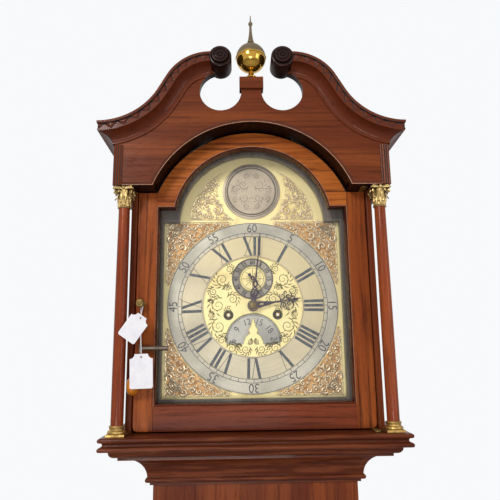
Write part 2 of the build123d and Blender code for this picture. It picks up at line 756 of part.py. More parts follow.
def column_foot():
    """Square plate, bell-shaped torus and a collar under the shaft."""
    plate = Pos(0, 0, 2) * Box(BASE_WIDTH, BASE_WIDTH, 4)
    bell = revolve(Plane.XZ * face_of(
        Line((0, 4), (12.8, 4)),
        ThreePointArc((12.8, 4), (13.6, 6.2), (12.2, 8)),
        ThreePointArc((12.2, 8), (10.4, 10.5), (10.8, 13)),
        Line((10.8, 13), (10.8, COLUMN_BASE)),
        Line((10.8, COLUMN_BASE), (0, COLUMN_BASE)),
        Line((0, COLUMN_BASE), (0, 4)),
    ), Axis.Z)
    return plate + bell


def finial():
    """Ball on a short neck, with a seam round its middle and a turned spire."""
    ball = FINIAL_NECK + FINIAL_BALL_R
    top = ball + FINIAL_BALL_R
    seam = 0.9
    rim = sqrt(FINIAL_BALL_R ** 2 - seam ** 2)
    outline = face_of(
        Line((0, 0), (9, 0)),
        Line((9, 0), (9, 2.5)),
        ThreePointArc((9, 2.5), (5, 5), (4.4, FINIAL_NECK + 0.6)),
        ThreePointArc((4.4, FINIAL_NECK + 0.6), (FINIAL_BALL_R * 0.78, ball - FINIAL_BALL_R * 0.6258), (rim, ball - seam)),
        Line((rim, ball - seam), (rim + 1.2, ball - seam)),
        Line((rim + 1.2, ball - seam), (rim + 1.2, ball + seam)),
        Line((rim + 1.2, ball + seam), (rim, ball + seam)),
        ThreePointArc((rim, ball + seam), (FINIAL_BALL_R * 0.78, ball + FINIAL_BALL_R * 0.6258), (3.6, top - 0.4)),
        Line((3.6, top - 0.4), (3.2, top + 2)),
        Line((3.2, top + 2), (5.2, top + 4)),
        Line((5.2, top + 4), (5.2, top + 6.5)),
        ThreePointArc((5.2, top + 6.5), (3.2, top + 16), (1.6, top + 36)),
        Line((1.6, top + 36), (3.4, top + 38)),
        Line((3.4, top + 38), (3.0, top + 42)),
        Line((3.0, top + 42), (0.8, FINIAL_HEIGHT)),
        Line((0.8, FINIAL_HEIGHT), (0, FINIAL_HEIGHT)),
        Line((0, FINIAL_HEIGHT), (0, 0)),
    )
    return revolve(Plane.XZ * outline, Axis.Z)


def hood_brasses():
    """Capitals, column feet and the finial."""
    pieces = []
    for x in (-COLUMN_X, COLUMN_X):
        pieces.append(Pos(x, COLUMN_Y, SOFFIT - CAPITAL) * capital())
        pieces.append(Pos(x, COLUMN_Y, LEDGE) * column_foot())
    pieces.append(Pos(0, FINIAL_Y, DIAL_BOTTOM + PLINTH_TOP) * finial())
    return pieces


# Hood door

def door_light(grow=0.0):
    return arch_light(
        DOOR_LIGHT_HALF + grow, DOOR_LIGHT_BOTTOM - grow, DOOR_SHOULDER + grow,
        DOOR_ARCH_R + grow, DOOR_ARCH_CENTRE,
    )


def hood_door():
    """Frame with a square body and a break-arch head, beaded round the glass and rebated behind."""
    low = -SILL + DOOR_BOTTOM_GAP
    high = FRIEZE_BOTTOM - DOOR_TOP_GAP
    body = Pos(0, (low + high) / 2) * Rectangle(2 * DOOR_HALF, high - low)
    head = Pos(0, FRIEZE_ARCH_CENTRE) * Circle(FRIEZE_ARCH_R - DOOR_ARCH_GAP)
    head -= Pos(0, high - 400) * Rectangle(900, 800)
    outline = body + head
    at = Pos(0, DIAL_BOTTOM)
    front = upright(at * (outline - door_light()), DOOR_FACE, DOOR_BACK - REBATE_DEPTH)
    back = upright(at * (outline - door_light(REBATE)), DOOR_BACK - REBATE_DEPTH, DOOR_BACK)
    bead = upright(at * (door_light(BEAD) - door_light()), DOOR_FACE - BEAD_PROUD, DOOR_FACE)
    return front + back + bead


def door_glass():
    front = DOOR_BACK - REBATE_DEPTH
    return upright(Pos(0, DIAL_BOTTOM) * door_light(REBATE - GAP), front, front + GLASS)


def door_pivots():
    """Brass arms under and over the hinge stile, with pins in the ledge and the soffit."""
    y = DOOR_FACE - PIVOT_FORWARD
    low = LEDGE + DOOR_BOTTOM_GAP - PIVOT_ARM
    high = SOFFIT - DOOR_TOP_GAP
    plan = Pos(PIVOT_X, y) * Circle(6) + Pos(PIVOT_X, (y + DOOR_BACK) / 2) * Rectangle(9, DOOR_BACK - y)
    bottom = extrude(Plane.XY.offset(low) * plan, PIVOT_ARM)
    bottom += Pos(PIVOT_X, y, low - PIVOT_PIN / 2) * Cylinder(PIVOT_PIN_R, PIVOT_PIN)
    top = extrude(Plane.XY.offset(high) * plan, DOOR_TOP_GAP - GAP)
    top += Pos(PIVOT_X, y, SOFFIT + PIVOT_PIN / 2 - GAP) * Cylinder(PIVOT_PIN_R, PIVOT_PIN)
    return [bottom, top]


def door_knob():
    outline = (
        (KNOB_STEM_R + 3, 0), (KNOB_STEM_R + 3, 1.5), (KNOB_STEM_R, 2.5), (KNOB_STEM_R, KNOB_REACH - 8),
        (KNOB_R * 0.8, KNOB_REACH - 7), (KNOB_R, KNOB_REACH - 4), (KNOB_R * 0.8, KNOB_REACH - 1), (2, KNOB_REACH),
    )
    return Pos(KNOB_X, DOOR_FACE, DIAL_BOTTOM + KNOB_Z) * turned_forward(*outline)


# Winding crank with its string and two blank tags

def crank_place():
    return KNOB_X + 4, DOOR_FACE - 14.0, DIAL_BOTTOM + CRANK_Z


def tag_hole(at, size, turn):
    """Middle of a tag's hole, near its upper edge."""
    reach = size[1] / 2 - TAG_HOLE_IN
    return at[0] - reach * sin(radians(turn)), DIAL_BOTTOM + at[1] + reach * cos(radians(turn))


def thread():
    """Cross-section of a twisted string."""
    return RegularPolygon(STRING_R, STRING_SIDES)


def key_string():
    """Loop round the knob's stem, one tail to the crank and one through both tags."""
    x, y, z = crank_place()
    arm = x - CRANK_ARM_THICK / 2
    loop_y = DOOR_FACE - 6
    knob_z = DIAL_BOTTOM + KNOB_Z
    ring_r = KNOB_STEM_R + GAP + STRING_R
    loop = Pos(KNOB_X, loop_y, knob_z) * Rot(90, 0, 0) * revolve(Plane.XZ * Pos(ring_r, 0) * thread(), Axis.Z)
    top = Vector(KNOB_X, loop_y, knob_z - ring_r - STRING_R)
    path = Line(top, Vector(arm, y, z + CRANK_ARM_ABOVE + STRING_R))
    tail = sweep(Plane(origin=path @ 0, z_dir=path % 0) * thread(), path=path)
    upper = tag_hole(UPPER_TAG_AT, UPPER_TAG, UPPER_TAG_TURN)
    lower = tag_hole(LOWER_TAG_AT, LOWER_TAG, LOWER_TAG_TURN)
    back = TAG_Y + STRING_R + 0.1
    start = Vector(KNOB_X + ring_r + STRING_R, loop_y, knob_z)
    route = FilletPolyline(start, Vector(upper[0], back, upper[1]), Vector(lower[0], back, lower[1]), radius=9)
    second = sweep(Plane(origin=route @ 0, z_dir=route % 0) * thread(), path=route)
    return loop, tail, second


def winding_crank():
    """Socket tube pointing right and the flat arm that hangs from the string."""
    x, y, z = crank_place()
    socket = Pos(x, y, z) * Rot(0, 90, 0) * Cylinder(CRANK_TUBE_R, CRANK_TUBE, align=(Align.CENTER, Align.CENTER, Align.MIN))
    socket -= Pos(x + CRANK_TUBE, y, z) * Box(20, 4.2, 4.2)
    arm = block(x - CRANK_ARM_THICK, x, y - CRANK_ARM_WIDTH / 2, y + CRANK_ARM_WIDTH / 2, z - CRANK_ARM, z + CRANK_ARM_ABOVE)
    return socket + arm


def crank_grip():
    x, y, z = crank_place()
    grip = turned(
        (5, 0), (GRIP_R * 0.8, 2.5), (GRIP_R, GRIP * 0.5), (GRIP_R * 0.8, GRIP * 0.85), (4, GRIP),
    )
    return Pos(x - CRANK_ARM_THICK, y, z - CRANK_ARM + GRIP_R * 0.6) * Rot(0, -90, 0) * grip


def tag(at, size, turn):
    card = Rectangle(*size) - Pos(0, size[1] / 2 - TAG_HOLE_IN) * Circle(1.5)
    place = Pos(at[0], DIAL_BOTTOM + at[1]) * Rot(0, 0, turn)
    return upright(place * card, TAG_Y - TAG_THICK, TAG_Y)


def tags():
    """Two blank card tags, one turned on its corner and one square, each with a hole."""
    return [tag(UPPER_TAG_AT, UPPER_TAG, UPPER_TAG_TURN), tag(LOWER_TAG_AT, LOWER_TAG, LOWER_TAG_TURN)]


# Dial

def dial_plate():
    """Brass plate behind the mask, with its holes and four feet to the movement."""
    grow = DIAL_MARGIN
    plate = arch_light(DIAL_HALF + grow, -grow, MASK_SHOULDER + grow, MASK_ARCH_R + grow, MASK_ARCH_CENTRE)
    for x in (-WINDING_X, WINDING_X):
        plate -= Pos(x, DIAL_CENTRE - WINDING_BELOW) * Circle(WINDING_HOLE_R)
    plate -= Pos(0, DIAL_CENTRE) * Circle(5.5)
    plate -= Pos(0, DIAL_CENTRE + SECONDS_Z) * Circle(2.5)
    plate -= date_opening()
    shape = upright(Pos(0, DIAL_BOTTOM) * plate, DIAL_FACE, DIAL_FACE + DIAL_PLATE)
    for x, z in DIAL_FEET:
        for side in (-x, x):
            shape += disc(side, CENTRE_Z + z, DIAL_FOOT_R, DIAL_FACE + DIAL_PLATE, FRONT_PLATE)
    back = DIAL_FACE + DIAL_PLATE
    stud = disc(0, CENTRE_Z - DATE_BELOW, DATE_STUD_R, back, back + DATE_DISC + 3 * GAP)
    stud += disc(0, CENTRE_Z - DATE_BELOW, 2 * DATE_STUD_R, back + DATE_DISC + 2 * GAP, back + DATE_DISC + 5 * GAP)
    return shape + stud


def date_disc():
    """Numbered disc that turns behind the date opening, on a headed stud of the dial plate."""
    ring = Pos(0, CENTRE_Z - DATE_BELOW) * (Circle(DATE_DISC_R) - Circle(DATE_STUD_R + GAP / 2))
    front = DIAL_FACE + DIAL_PLATE + GAP
    return upright(ring, front, front + DATE_DISC)


def date_tongue():
    """Onion dome left standing in the middle of the date opening, with a leaf and a point on top."""
    side = [
        (16, 0), (14.5, 3), (11.7, 9), (9, 11.5), (5.2, 14), (6.8, 17), (7.2, 20),
        (5, 24), (3, 26.5), (3.6, 29), (1.8, 31), (0.8, 38),
    ]
    left = [(-x, z) for x, z in reversed(side)]
    return make_face(Polyline((16, -DATE_R / 4), *side, *left, (-16, -DATE_R / 4), close=True))


def date_opening():
    """Half-round date opening below the centre, its lower edge in two lobes."""
    z = DIAL_CENTRE - DATE_BELOW
    arc = face_of(
        ThreePointArc((-DATE_R, z), (0, z + DATE_R), (DATE_R, z)),
        ThreePointArc((DATE_R, z), (DATE_R / 2, z - 5), (0, z + 8)),
        ThreePointArc((0, z + 8), (-DATE_R / 2, z - 5), (-DATE_R, z)),
    )
    return arc - Pos(0, z) * date_tongue()


def chapter_ring():
    ring = Pos(0, DIAL_CENTRE) * (Circle(CHAPTER_R) - Circle(CHAPTER_INNER_R))
    return upright(Pos(0, DIAL_BOTTOM) * ring, DIAL_FACE - CHAPTER, DIAL_FACE)


def seconds_ring():
    ring = Pos(0, SECONDS_Z) * (Circle(SECONDS_R) - Circle(SECONDS_INNER_R))
    return upright(Pos(0, CENTRE_Z) * ring, DIAL_FACE - SECONDS_RING, DIAL_FACE)


def arch_boss():
    boss = turned_forward((BOSS_DIAL_R, 0), (BOSS_DIAL_R, 1.5), (BOSS_DIAL_R - 4, 2.5))
    return Pos(0, DIAL_FACE, DIAL_BOTTOM + BOSS_DIAL_Z) * boss


def corner_spandrel():
    """Cast corner ornament between the chapter ring and the corner of the dial."""
    edge = DIAL_HALF - 3
    ring = CHAPTER_R + 2.5
    reach = 68.0
    square = Pos(edge - reach / 2, edge - reach / 2) * Rectangle(reach, reach)
    shape = square - Circle(ring)
    for a in (18, 45, 72):
        shape -= Pos((ring + 22) * cos(radians(a)) , (ring + 22) * sin(radians(a))) * Circle(5)
    return shape


def spandrels():
    """Four corner castings and two in the arch."""
    corner = corner_spandrel()
    four = [Pos(0, DIAL_CENTRE) * shape for shape in (
        corner, mirror(corner, Plane.YZ), mirror(corner, Plane.XZ), mirror(mirror(corner, Plane.XZ), Plane.YZ),
    )]
    arch = Pos(0, MASK_ARCH_CENTRE) * Circle(MASK_ARCH_R - 5)
    arch -= Pos(0, BOSS_DIAL_Z) * Circle(BOSS_DIAL_R + 3)
    arch &= Pos(-82, 322) * Rectangle(68, 62)
    arch -= Pos(-50, 300) * Circle(14)
    pieces = [*four, arch, mirror(arch, Plane.YZ)]
    margin = 1.5
    inside = arch_light(
        DIAL_HALF - margin, margin, MASK_SHOULDER - margin, MASK_ARCH_R - margin, MASK_ARCH_CENTRE,
    )
    return [upright(Pos(0, DIAL_BOTTOM) * (piece & inside), DIAL_FACE - SPANDREL, DIAL_FACE) for piece in pieces]


# Wheels and pinions

def toothed(teeth, module, turn=0.0, width=1.0):
    """Pointed teeth on a wheel that turns about the Y axis; the first tooth stands at the angle."""
    tip = module * (teeth / 2 + 1)
    root = module * (teeth / 2 - 1.25)
    step = 360 / teeth
    points = []
    for i in range(teeth):
        middle = turn + step * i
        for radius, angle in ((root, middle - width * step / 2), (tip, middle)):
            points.append((radius * cos(radians(angle)), radius * sin(radians(angle))))
        if width < 1:
            angle = middle + width * step / 2
            points.append((root * cos(radians(angle)), root * sin(radians(angle))))
    return make_face(Polyline(*points, close=True))


def crossed(outline, inner, outer, arms=4):
    """Straight-sided openings that leave the arms of a wheel."""
    for i in range(arms):
        a = 360 / arms * (i + 0.5)
        half = 180 / arms - 6
        cut = [
            (inner * cos(radians(a + s * half * k)), inner * sin(radians(a + s * half * k)))
            for s, k in ((-1, 0.55), (1, 0.55))
        ]
        cut += [(outer * cos(radians(a + s * half)), outer * sin(radians(a + s * half))) for s in (1, 0, -1)]
        outline -= make_face(Polyline(*cut, close=True))
    return outline


def arbor(x, z, front, back, radius=ARBOR_R):
    """Arbor between the plates with a pivot in each plate."""
    body = disc(x, z, radius, front + GAP, back - GAP)
    return body + disc(x, z, PIVOT_R, front - PLATE, back + PLATE)


def wheel_at(x, z, outline, front, thick):
    return upright(Pos(x, z) * outline, front, front + thick)


def mesh_turn(dx, dz, driver_turn, driver_teeth, teeth):
    """Angle of a driven wheel's first tooth so that a gap faces the driver's tooth."""
    line = degrees(atan2(dz, dx))
    offset = (line - driver_turn) / (360 / driver_teeth)
    share = offset - round(offset)
    return line + 180 + (share + 0.5) * 360 / teeth


INSIDE_FRONT = FRONT_PLATE + PLATE
GREAT_Y = INSIDE_FRONT + 5
DRUM_Y = GREAT_Y + GREAT_THICK
CENTRE_Y = INSIDE_FRONT + 43
THIRD_Y = INSIDE_FRONT + 23
ESCAPE_Y = INSIDE_FRONT + 49
PIN_Y = INSIDE_FRONT + 46.5
WARNING_Y = INSIDE_FRONT + 29
WINDING_Z = CENTRE_Z - WINDING_BELOW
GREAT_MODULE = 2 * hypot(WINDING_X, WINDING_BELOW) / (GREAT_TEETH + CENTRE_PINION)
THIRD_DISTANCE = CENTRE_MODULE * (CENTRE_TEETH + THIRD_PINION) / 2
ESCAPE_DISTANCE = THIRD_MODULE * (THIRD_TEETH + ESCAPE_PINION) / 2
THIRD_RISE = (THIRD_DISTANCE ** 2 - ESCAPE_DISTANCE ** 2 + SECONDS_Z ** 2) / (2 * SECONDS_Z)
THIRD_X = sqrt(THIRD_DISTANCE ** 2 - THIRD_RISE ** 2)
CANNON_MODULE = MOTION_DISTANCE / CANNON_TEETH
HOUR_MODULE = 2 * MOTION_DISTANCE / (HOUR_TEETH + MINUTE_PINION)
ANCHOR_Z = CENTRE_Z + SECONDS_Z + ANCHOR_ABOVE
SUSPENSION_Z = CENTRE_Z + SUSPENSION_ABOVE
PENDULUM_Y = BACK_PLATE + PLATE + PENDULUM_BEHIND


def line_x(side):
    """Each line hangs on the left of its drum, so that a clockwise turn of the key winds it."""
    return side * WINDING_X - DRUM_R - LINE_R


def great_wheel():
    """Going great wheel, bored for the barrel arbor that it rides on."""
    outline = toothed(GREAT_TEETH, GREAT_MODULE) - Circle(3.4 + GAP)
    return wheel_at(WINDING_X, WINDING_Z, outline, GREAT_Y, GREAT_THICK)


def strike_module():
    x, z = PIN_AT
    return 2 * hypot(x + WINDING_X, z + WINDING_BELOW) / (STRIKE_GREAT_TEETH + PIN_PINION)


def strike_great_wheel():
    outline = toothed(STRIKE_GREAT_TEETH, strike_module()) - Circle(3.4 + GAP)
    return wheel_at(-WINDING_X, WINDING_Z, outline, GREAT_Y, GREAT_THICK)


def barrel(x):
    """Drum for the gut line, flanged behind, on an arbor with a winding square in front."""
    drum = disc(x, WINDING_Z, DRUM_R, DRUM_Y + GAP, DRUM_Y + DRUM_LENGTH)
    flange = disc(x, WINDING_Z, DRUM_FLANGE_R, DRUM_Y + DRUM_LENGTH, DRUM_Y + DRUM_LENGTH + 2)
    body = disc(x, WINDING_Z, 3.4, INSIDE_FRONT + GAP, BACK_PLATE - GAP)
    pivot = disc(x, WINDING_Z, 2.6, INSIDE_FRONT - PLATE, BACK_PLATE + PLATE)
    shaft = disc(x, WINDING_Z, 3.6, DIAL_FACE + 10, INSIDE_FRONT - PLATE)
    square = upright(Pos(x, WINDING_Z) * Rectangle(WINDING_SQUARE, WINDING_SQUARE), DIAL_FACE - 2, DIAL_FACE + 10)
    return drum + flange + body + pivot + shaft + square


def centre_wheel():
    """Centre wheel and pinion, with the cannon pipe and its wheel on the long front arbor."""
    turn = centre_turn()
    wheel = crossed(toothed(CENTRE_TEETH, CENTRE_MODULE, turn), 6, 19.5)
    shape = wheel_at(0, CENTRE_Z, wheel, CENTRE_Y, WHEEL_THICK)
    pinion = toothed(CENTRE_PINION, GREAT_MODULE, turn, 0.75)
    shape += wheel_at(0, CENTRE_Z, pinion, GREAT_Y - 1.5, GREAT_THICK + 3)
    shape += arbor(0, CENTRE_Z, INSIDE_FRONT, BACK_PLATE)
    cannon = toothed(CANNON_TEETH, CANNON_MODULE)
    shape += wheel_at(0, CENTRE_Z, cannon, FRONT_PLATE - 6, WHEEL_THICK)
    shape += disc(0, CENTRE_Z, 2.4, DIAL_FACE - 16, INSIDE_FRONT - PLATE)
    return shape


def centre_turn():
    return mesh_turn(-WINDING_X, WINDING_BELOW, 0, GREAT_TEETH, CENTRE_PINION)


def third_turn():
    return mesh_turn(THIRD_X, THIRD_RISE, centre_turn(), CENTRE_TEETH, THIRD_PINION)


def escape_turn():
    return mesh_turn(-THIRD_X, SECONDS_Z - THIRD_RISE, third_turn(), THIRD_TEETH, ESCAPE_PINION)


def third_wheel():
    turn = third_turn()
    x, z = THIRD_X, CENTRE_Z + THIRD_RISE
    shape = wheel_at(x, z, crossed(toothed(THIRD_TEETH, THIRD_MODULE, turn), 5, 16.5), THIRD_Y, WHEEL_THICK)
    shape += wheel_at(x, z, toothed(THIRD_PINION, CENTRE_MODULE, turn, 0.75), CENTRE_Y - 2, WHEEL_THICK + 4)
    return shape + arbor(x, z, INSIDE_FRONT, BACK_PLATE, 1.6)


def escape_outline():
    """Thirty slender teeth that lean forward."""
    step = 360 / ESCAPE_TEETH
    points = []
    for i in range(ESCAPE_TEETH):
        a = step * i
        points.append((ESCAPE_R * cos(radians(a)), ESCAPE_R * sin(radians(a))))
        points.append((ESCAPE_R * 0.84 * cos(radians(a - 2.5)), ESCAPE_R * 0.84 * sin(radians(a - 2.5))))
        points.append((ESCAPE_R * 0.84 * cos(radians(a + step - 5.5)), ESCAPE_R * 0.84 * sin(radians(a + step - 5.5))))
    return crossed(make_face(Polyline(*reversed_pairs(points), close=True)), 4, 14)


def reversed_pairs(points):
    """The same outline the other way round, so that its teeth lean with the turn."""
    return [(x, -z) for x, z in points]


def escape_wheel():
    z = CENTRE_Z + SECONDS_Z
    shape = wheel_at(0, z, escape_outline(), ESCAPE_Y, 1.6)
    pinion = toothed(ESCAPE_PINION, THIRD_MODULE, escape_turn(), 0.75)
    shape += wheel_at(0, z, pinion, THIRD_Y - 2, WHEEL_THICK + 4)
    shape += arbor(0, z, INSIDE_FRONT, BACK_PLATE, 1.5)
    return shape + disc(0, z, 1.0, DIAL_FACE - 5, FRONT_PLATE)


def anchor():
    """Recoil anchor over the escape wheel, its arbor and the crutch behind the back plate."""
    spread = ESCAPE_R + PALLET_CLEAR
    left = (-spread * sin(radians(42)), spread * cos(radians(42)) - ANCHOR_ABOVE)
    outline = face_of(
        Line((-4, 3.5), (4, 3.5)),
        ThreePointArc((4, 3.5), (14, -1), (-left[0] + 1.6, left[1])),
        Line((-left[0] + 1.6, left[1]), (-left[0] - 1.2, left[1] + 0.8)),
        ThreePointArc((-left[0] - 1.2, left[1] + 0.8), (9.5, -4), (0, -4.2)),
        ThreePointArc((0, -4.2), (-9.5, -4), (left[0] + 1.2, left[1] + 0.8)),
        Line((left[0] + 1.2, left[1] + 0.8), (left[0] - 1.6, left[1])),
        ThreePointArc((left[0] - 1.6, left[1]), (-14, -1), (-4, 3.5)),
    )
    shape = wheel_at(0, ANCHOR_Z, outline, ESCAPE_Y - 0.5, 2.6)
    shape += disc(0, ANCHOR_Z, 1.5, INSIDE_FRONT + GAP, BACK_PLATE + PLATE + 6)
    shape += disc(0, ANCHOR_Z, PIVOT_R, INSIDE_FRONT - PLATE, BACK_PLATE + PLATE + 11)
    y = BACK_PLATE + PLATE + 4
    shape += block(-1.5, 1.5, y, y + 2, ANCHOR_Z - CRUTCH, ANCHOR_Z)
    fork = ROD_R + GAP
    for s in (-1, 1):
        inner = s * fork
        outer = s * (fork + 1.5)
        shape += block(inner, outer, y, PENDULUM_Y + ROD_R, ANCHOR_Z - CRUTCH, ANCHOR_Z - CRUTCH + 5)
    shape += block(-fork - 1.5, fork + 1.5, y, y + 2, ANCHOR_Z - CRUTCH, ANCHOR_Z - CRUTCH + 5)
    return shape


def pendulum():
    """Suspension spring, rod, lens bob and rating nut."""
    top = SUSPENSION_Z
    bob = top - PENDULUM
    spring = block(-4, 4, PENDULUM_Y - 0.15, PENDULUM_Y + 0.15, top - 24, top + 4)
    rod = Pos(0, PENDULUM_Y, (bob - 70 + top - 24) / 2) * Cylinder(ROD_R, top - 24 - bob + 70)
    half = BOB_THICK / 2
    rim = [(14, -half), (BOB_R * 0.6, -half * 0.72), (BOB_R - 1, -2), (BOB_R, 0)]
    lens = turned_forward(*rim, *[(r, -y) for r, y in reversed(rim[:-1])])
    lens = Pos(0, PENDULUM_Y, bob) * lens
    lens -= Pos(0, PENDULUM_Y, bob) * Cylinder(ROD_R, 2 * BOB_R + 10)
    nut = Pos(0, PENDULUM_Y, bob - BOB_R - 5) * (Cylinder(NUT_R, 8) - Cylinder(ROD_R, 8))
    return [spring, rod, lens, nut]


def movement_frame():
    """Two plates, five pillars, the back cock, the bell and its stand."""
    low = CENTRE_Z - PLATE_BELOW
    high = CENTRE_Z + PLATE_ABOVE
    front = block(-PLATE_HALF, PLATE_HALF, FRONT_PLATE, INSIDE_FRONT, low, high)
    back = block(-PLATE_HALF, PLATE_HALF, BACK_PLATE, BACK_PLATE + PLATE, low, high)
    small = [(THIRD_X, THIRD_RISE), (0, SECONDS_Z), (0, SECONDS_Z + ANCHOR_ABOVE), PIN_AT, WARNING_AT, FLY_AT, (0, 0)]
    front -= disc(0, CENTRE_Z - MOTION_DISTANCE, 1.6 + GAP / 2, FRONT_PLATE, INSIDE_FRONT)
    for x, z in small:
        hole = disc(x, CENTRE_Z + z, PIVOT_R + GAP / 2, FRONT_PLATE, BACK_PLATE + PLATE)
        front -= hole
        back -= hole
    for x in (-WINDING_X, WINDING_X):
        hole = disc(x, WINDING_Z, 2.6 + GAP / 2, FRONT_PLATE, BACK_PLATE + PLATE)
        front -= hole
        back -= hole
    back -= disc(0, ANCHOR_Z, 3.0, BACK_PLATE, BACK_PLATE + PLATE)
    pillars = [disc(x, CENTRE_Z + z, PILLAR_R, INSIDE_FRONT, BACK_PLATE) for x, z in PILLARS]
    y = BACK_PLATE + PLATE
    foot = [block(s * 14, s * 24, y, y + 8, ANCHOR_Z - 6, ANCHOR_Z + 12) for s in (-1, 1)]
    bridge = block(-24, 24, y + 8, y + 11, ANCHOR_Z - 6, ANCHOR_Z + 12)
    bridge -= disc(0, ANCHOR_Z, PIVOT_R + GAP / 2, y + 8, y + 11)
    chops = block(-8, 8, y + 11, PENDULUM_Y + 4, SUSPENSION_Z + 1, SUSPENSION_Z + 7)
    chops -= block(-4 - GAP / 2, 4 + GAP / 2, PENDULUM_Y - 0.3, PENDULUM_Y + 0.3, SUSPENSION_Z + 1, SUSPENSION_Z + 7)
    stand = block(-3, 3, y, y + 3, CENTRE_Z + PLATE_ABOVE - 20, CENTRE_Z + BELL_BASE + 32)
    return [front, back, *pillars, *foot, bridge, chops, stand]


def bell_y():
    return BACK_PLATE - BELL_R - 2


def bell():
    """Thin cast bell over the movement on the stand's arm."""
    wall = BELL_WALL
    r = BELL_R
    outline = [(r, 0), (r * 0.94, 12), (r * 0.72, 22), (r * 0.34, 28.5), (3, 30)]
    inner = [(3, 30 - wall), (r * 0.34 - 0.4, 28.5 - wall), (r * 0.72 - wall, 22 - wall), (r * 0.94 - wall, 12), (r - wall, 0)]
    shell = revolve(Plane.XZ * make_face(Polyline(*outline, *inner, close=True)), Axis.Z)
    y = bell_y()
    top = CENTRE_Z + BELL_BASE
    arm = block(-3, 3, y - 3, BACK_PLATE + PLATE, top + 30, top + 32)
    bolt = Pos(0, y, top + 29) * Cylinder(2.8, 2)
    return [Pos(0, y, top) * shell, arm, bolt]


def hammer():
    """Bell hammer on its arbor at the left of the plates."""
    x, z = HAMMER_AT
    y = bell_y()
    shape = disc(x, CENTRE_Z + z, 2.0, INSIDE_FRONT + GAP, BACK_PLATE - GAP)
    shape += block(x - 1, x + 1, y - 1.5, y + 1.5, CENTRE_Z + z, CENTRE_Z + BELL_BASE + 2)
    head = block(x - 5, x + 9, y - 4.5, y + 4.5, CENTRE_Z + BELL_BASE + 2, CENTRE_Z + BELL_BASE + 14)
    return shape + head


def pin_wheel():
    x, z = PIN_AT
    turn = pin_turn()
    shape = wheel_at(x, CENTRE_Z + z, crossed(toothed(PIN_TEETH, PIN_MODULE, turn), 6, 19.5), PIN_Y, WHEEL_THICK)
    shape += wheel_at(x, CENTRE_Z + z, toothed(PIN_PINION, strike_module(), turn, 0.75), GREAT_Y - 1.5, GREAT_THICK + 3)
    return shape + arbor(x, CENTRE_Z + z, INSIDE_FRONT, BACK_PLATE, 1.6)


def pin_turn():
    x, z = PIN_AT
    return mesh_turn(x + WINDING_X, z + WINDING_BELOW, 0, STRIKE_GREAT_TEETH, PIN_PINION)


def warning_turn():
    return mesh_turn(WARNING_AT[0] - PIN_AT[0], WARNING_AT[1] - PIN_AT[1], pin_turn(), PIN_TEETH, WARNING_PINION)


def warning_wheel():
    x, z = WARNING_AT
    turn = warning_turn()
    shape = wheel_at(x, CENTRE_Z + z, crossed(toothed(WARNING_TEETH, WARNING_MODULE, turn), 4, 12.5), WARNING_Y, WHEEL_THICK)
    shape += wheel_at(x, CENTRE_Z + z, toothed(WARNING_PINION, PIN_MODULE, turn, 0.75), PIN_Y - 2, WHEEL_THICK + 4)
    return shape + arbor(x, CENTRE_Z + z, INSIDE_FRONT, BACK_PLATE, 1.5)


def fly():
    """Fan that brakes the strike, on the last pinion."""
    x, z = FLY_AT
    turn = mesh_turn(x - WARNING_AT[0], z - WARNING_AT[1], warning_turn(), WARNING_TEETH, FLY_PINION)
    shape = wheel_at(x, CENTRE_Z + z, toothed(FLY_PINION, WARNING_MODULE, turn, 0.75), WARNING_Y - 2, WHEEL_THICK + 4)
    shape += arbor(x, CENTRE_Z + z, INSIDE_FRONT, BACK_PLATE, 1.5)
    y = INSIDE_FRONT + 4
    return shape + block(x - FLY_HALF, x + FLY_HALF, y, y + 18, CENTRE_Z + z - 0.5, CENTRE_Z + z + 0.5)


# Motion work and hands

def minute_wheel():
    """Minute wheel below the cannon, its pinion and the pipe that it turns on."""
    z = CENTRE_Z - MOTION_DISTANCE
    turn = mesh_turn(0, -MOTION_DISTANCE, 0, CANNON_TEETH, CANNON_TEETH)
    shape = wheel_at(0, z, toothed(CANNON_TEETH, CANNON_MODULE, turn), FRONT_PLATE - 6, WHEEL_THICK)
    shape += wheel_at(0, z, toothed(MINUTE_PINION, HOUR_MODULE, turn, 0.75), FRONT_PLATE - 16, 10)
    return shape + disc(0, z, 1.6, FRONT_PLATE - 18, FRONT_PLATE + PLATE)


def hour_wheel():
    """Hour wheel on a pipe that comes through the dial to the hour hand."""
    turn = mesh_turn(0, -MOTION_DISTANCE, 0, CANNON_TEETH, CANNON_TEETH)
    own = mesh_turn(0, MOTION_DISTANCE, turn, MINUTE_PINION, HOUR_TEETH)
    bore = 2.4 + GAP
    wheel = toothed(HOUR_TEETH, HOUR_MODULE, own) - Circle(bore)
    shape = wheel_at(0, CENTRE_Z, wheel, FRONT_PLATE - 14, WHEEL_THICK)
    return shape + wheel_at(0, CENTRE_Z, Circle(4.4) - Circle(bore), DIAL_FACE - 9, FRONT_PLATE - 12 - DIAL_FACE + 9)


def minute_hand():
    """Pierced foot and a long plain blade."""
    outline = Circle(7.7) + face_of(
        Line((-4, 5), (-5.5, 16)), ThreePointArc((-5.5, 16), (-3, 24), (-1.6, 30)),
        Line((-1.6, 30), (-0.6, MINUTE_HAND)), Line((-0.6, MINUTE_HAND), (0.6, MINUTE_HAND)),
        Line((0.6, MINUTE_HAND), (1.6, 30)), ThreePointArc((1.6, 30), (3, 24), (5.5, 16)),
        Line((5.5, 16), (4, 5)), Line((4, 5), (-4, 5)),
    )
    outline -= Pos(0, 17) * Ellipse(1.8, 4.5)
    outline -= Circle(2.4)
    return wheel_at(0, CENTRE_Z, Rot(0, 0, MINUTE_ANGLE) * outline, DIAL_FACE - 14, HAND_THICK)


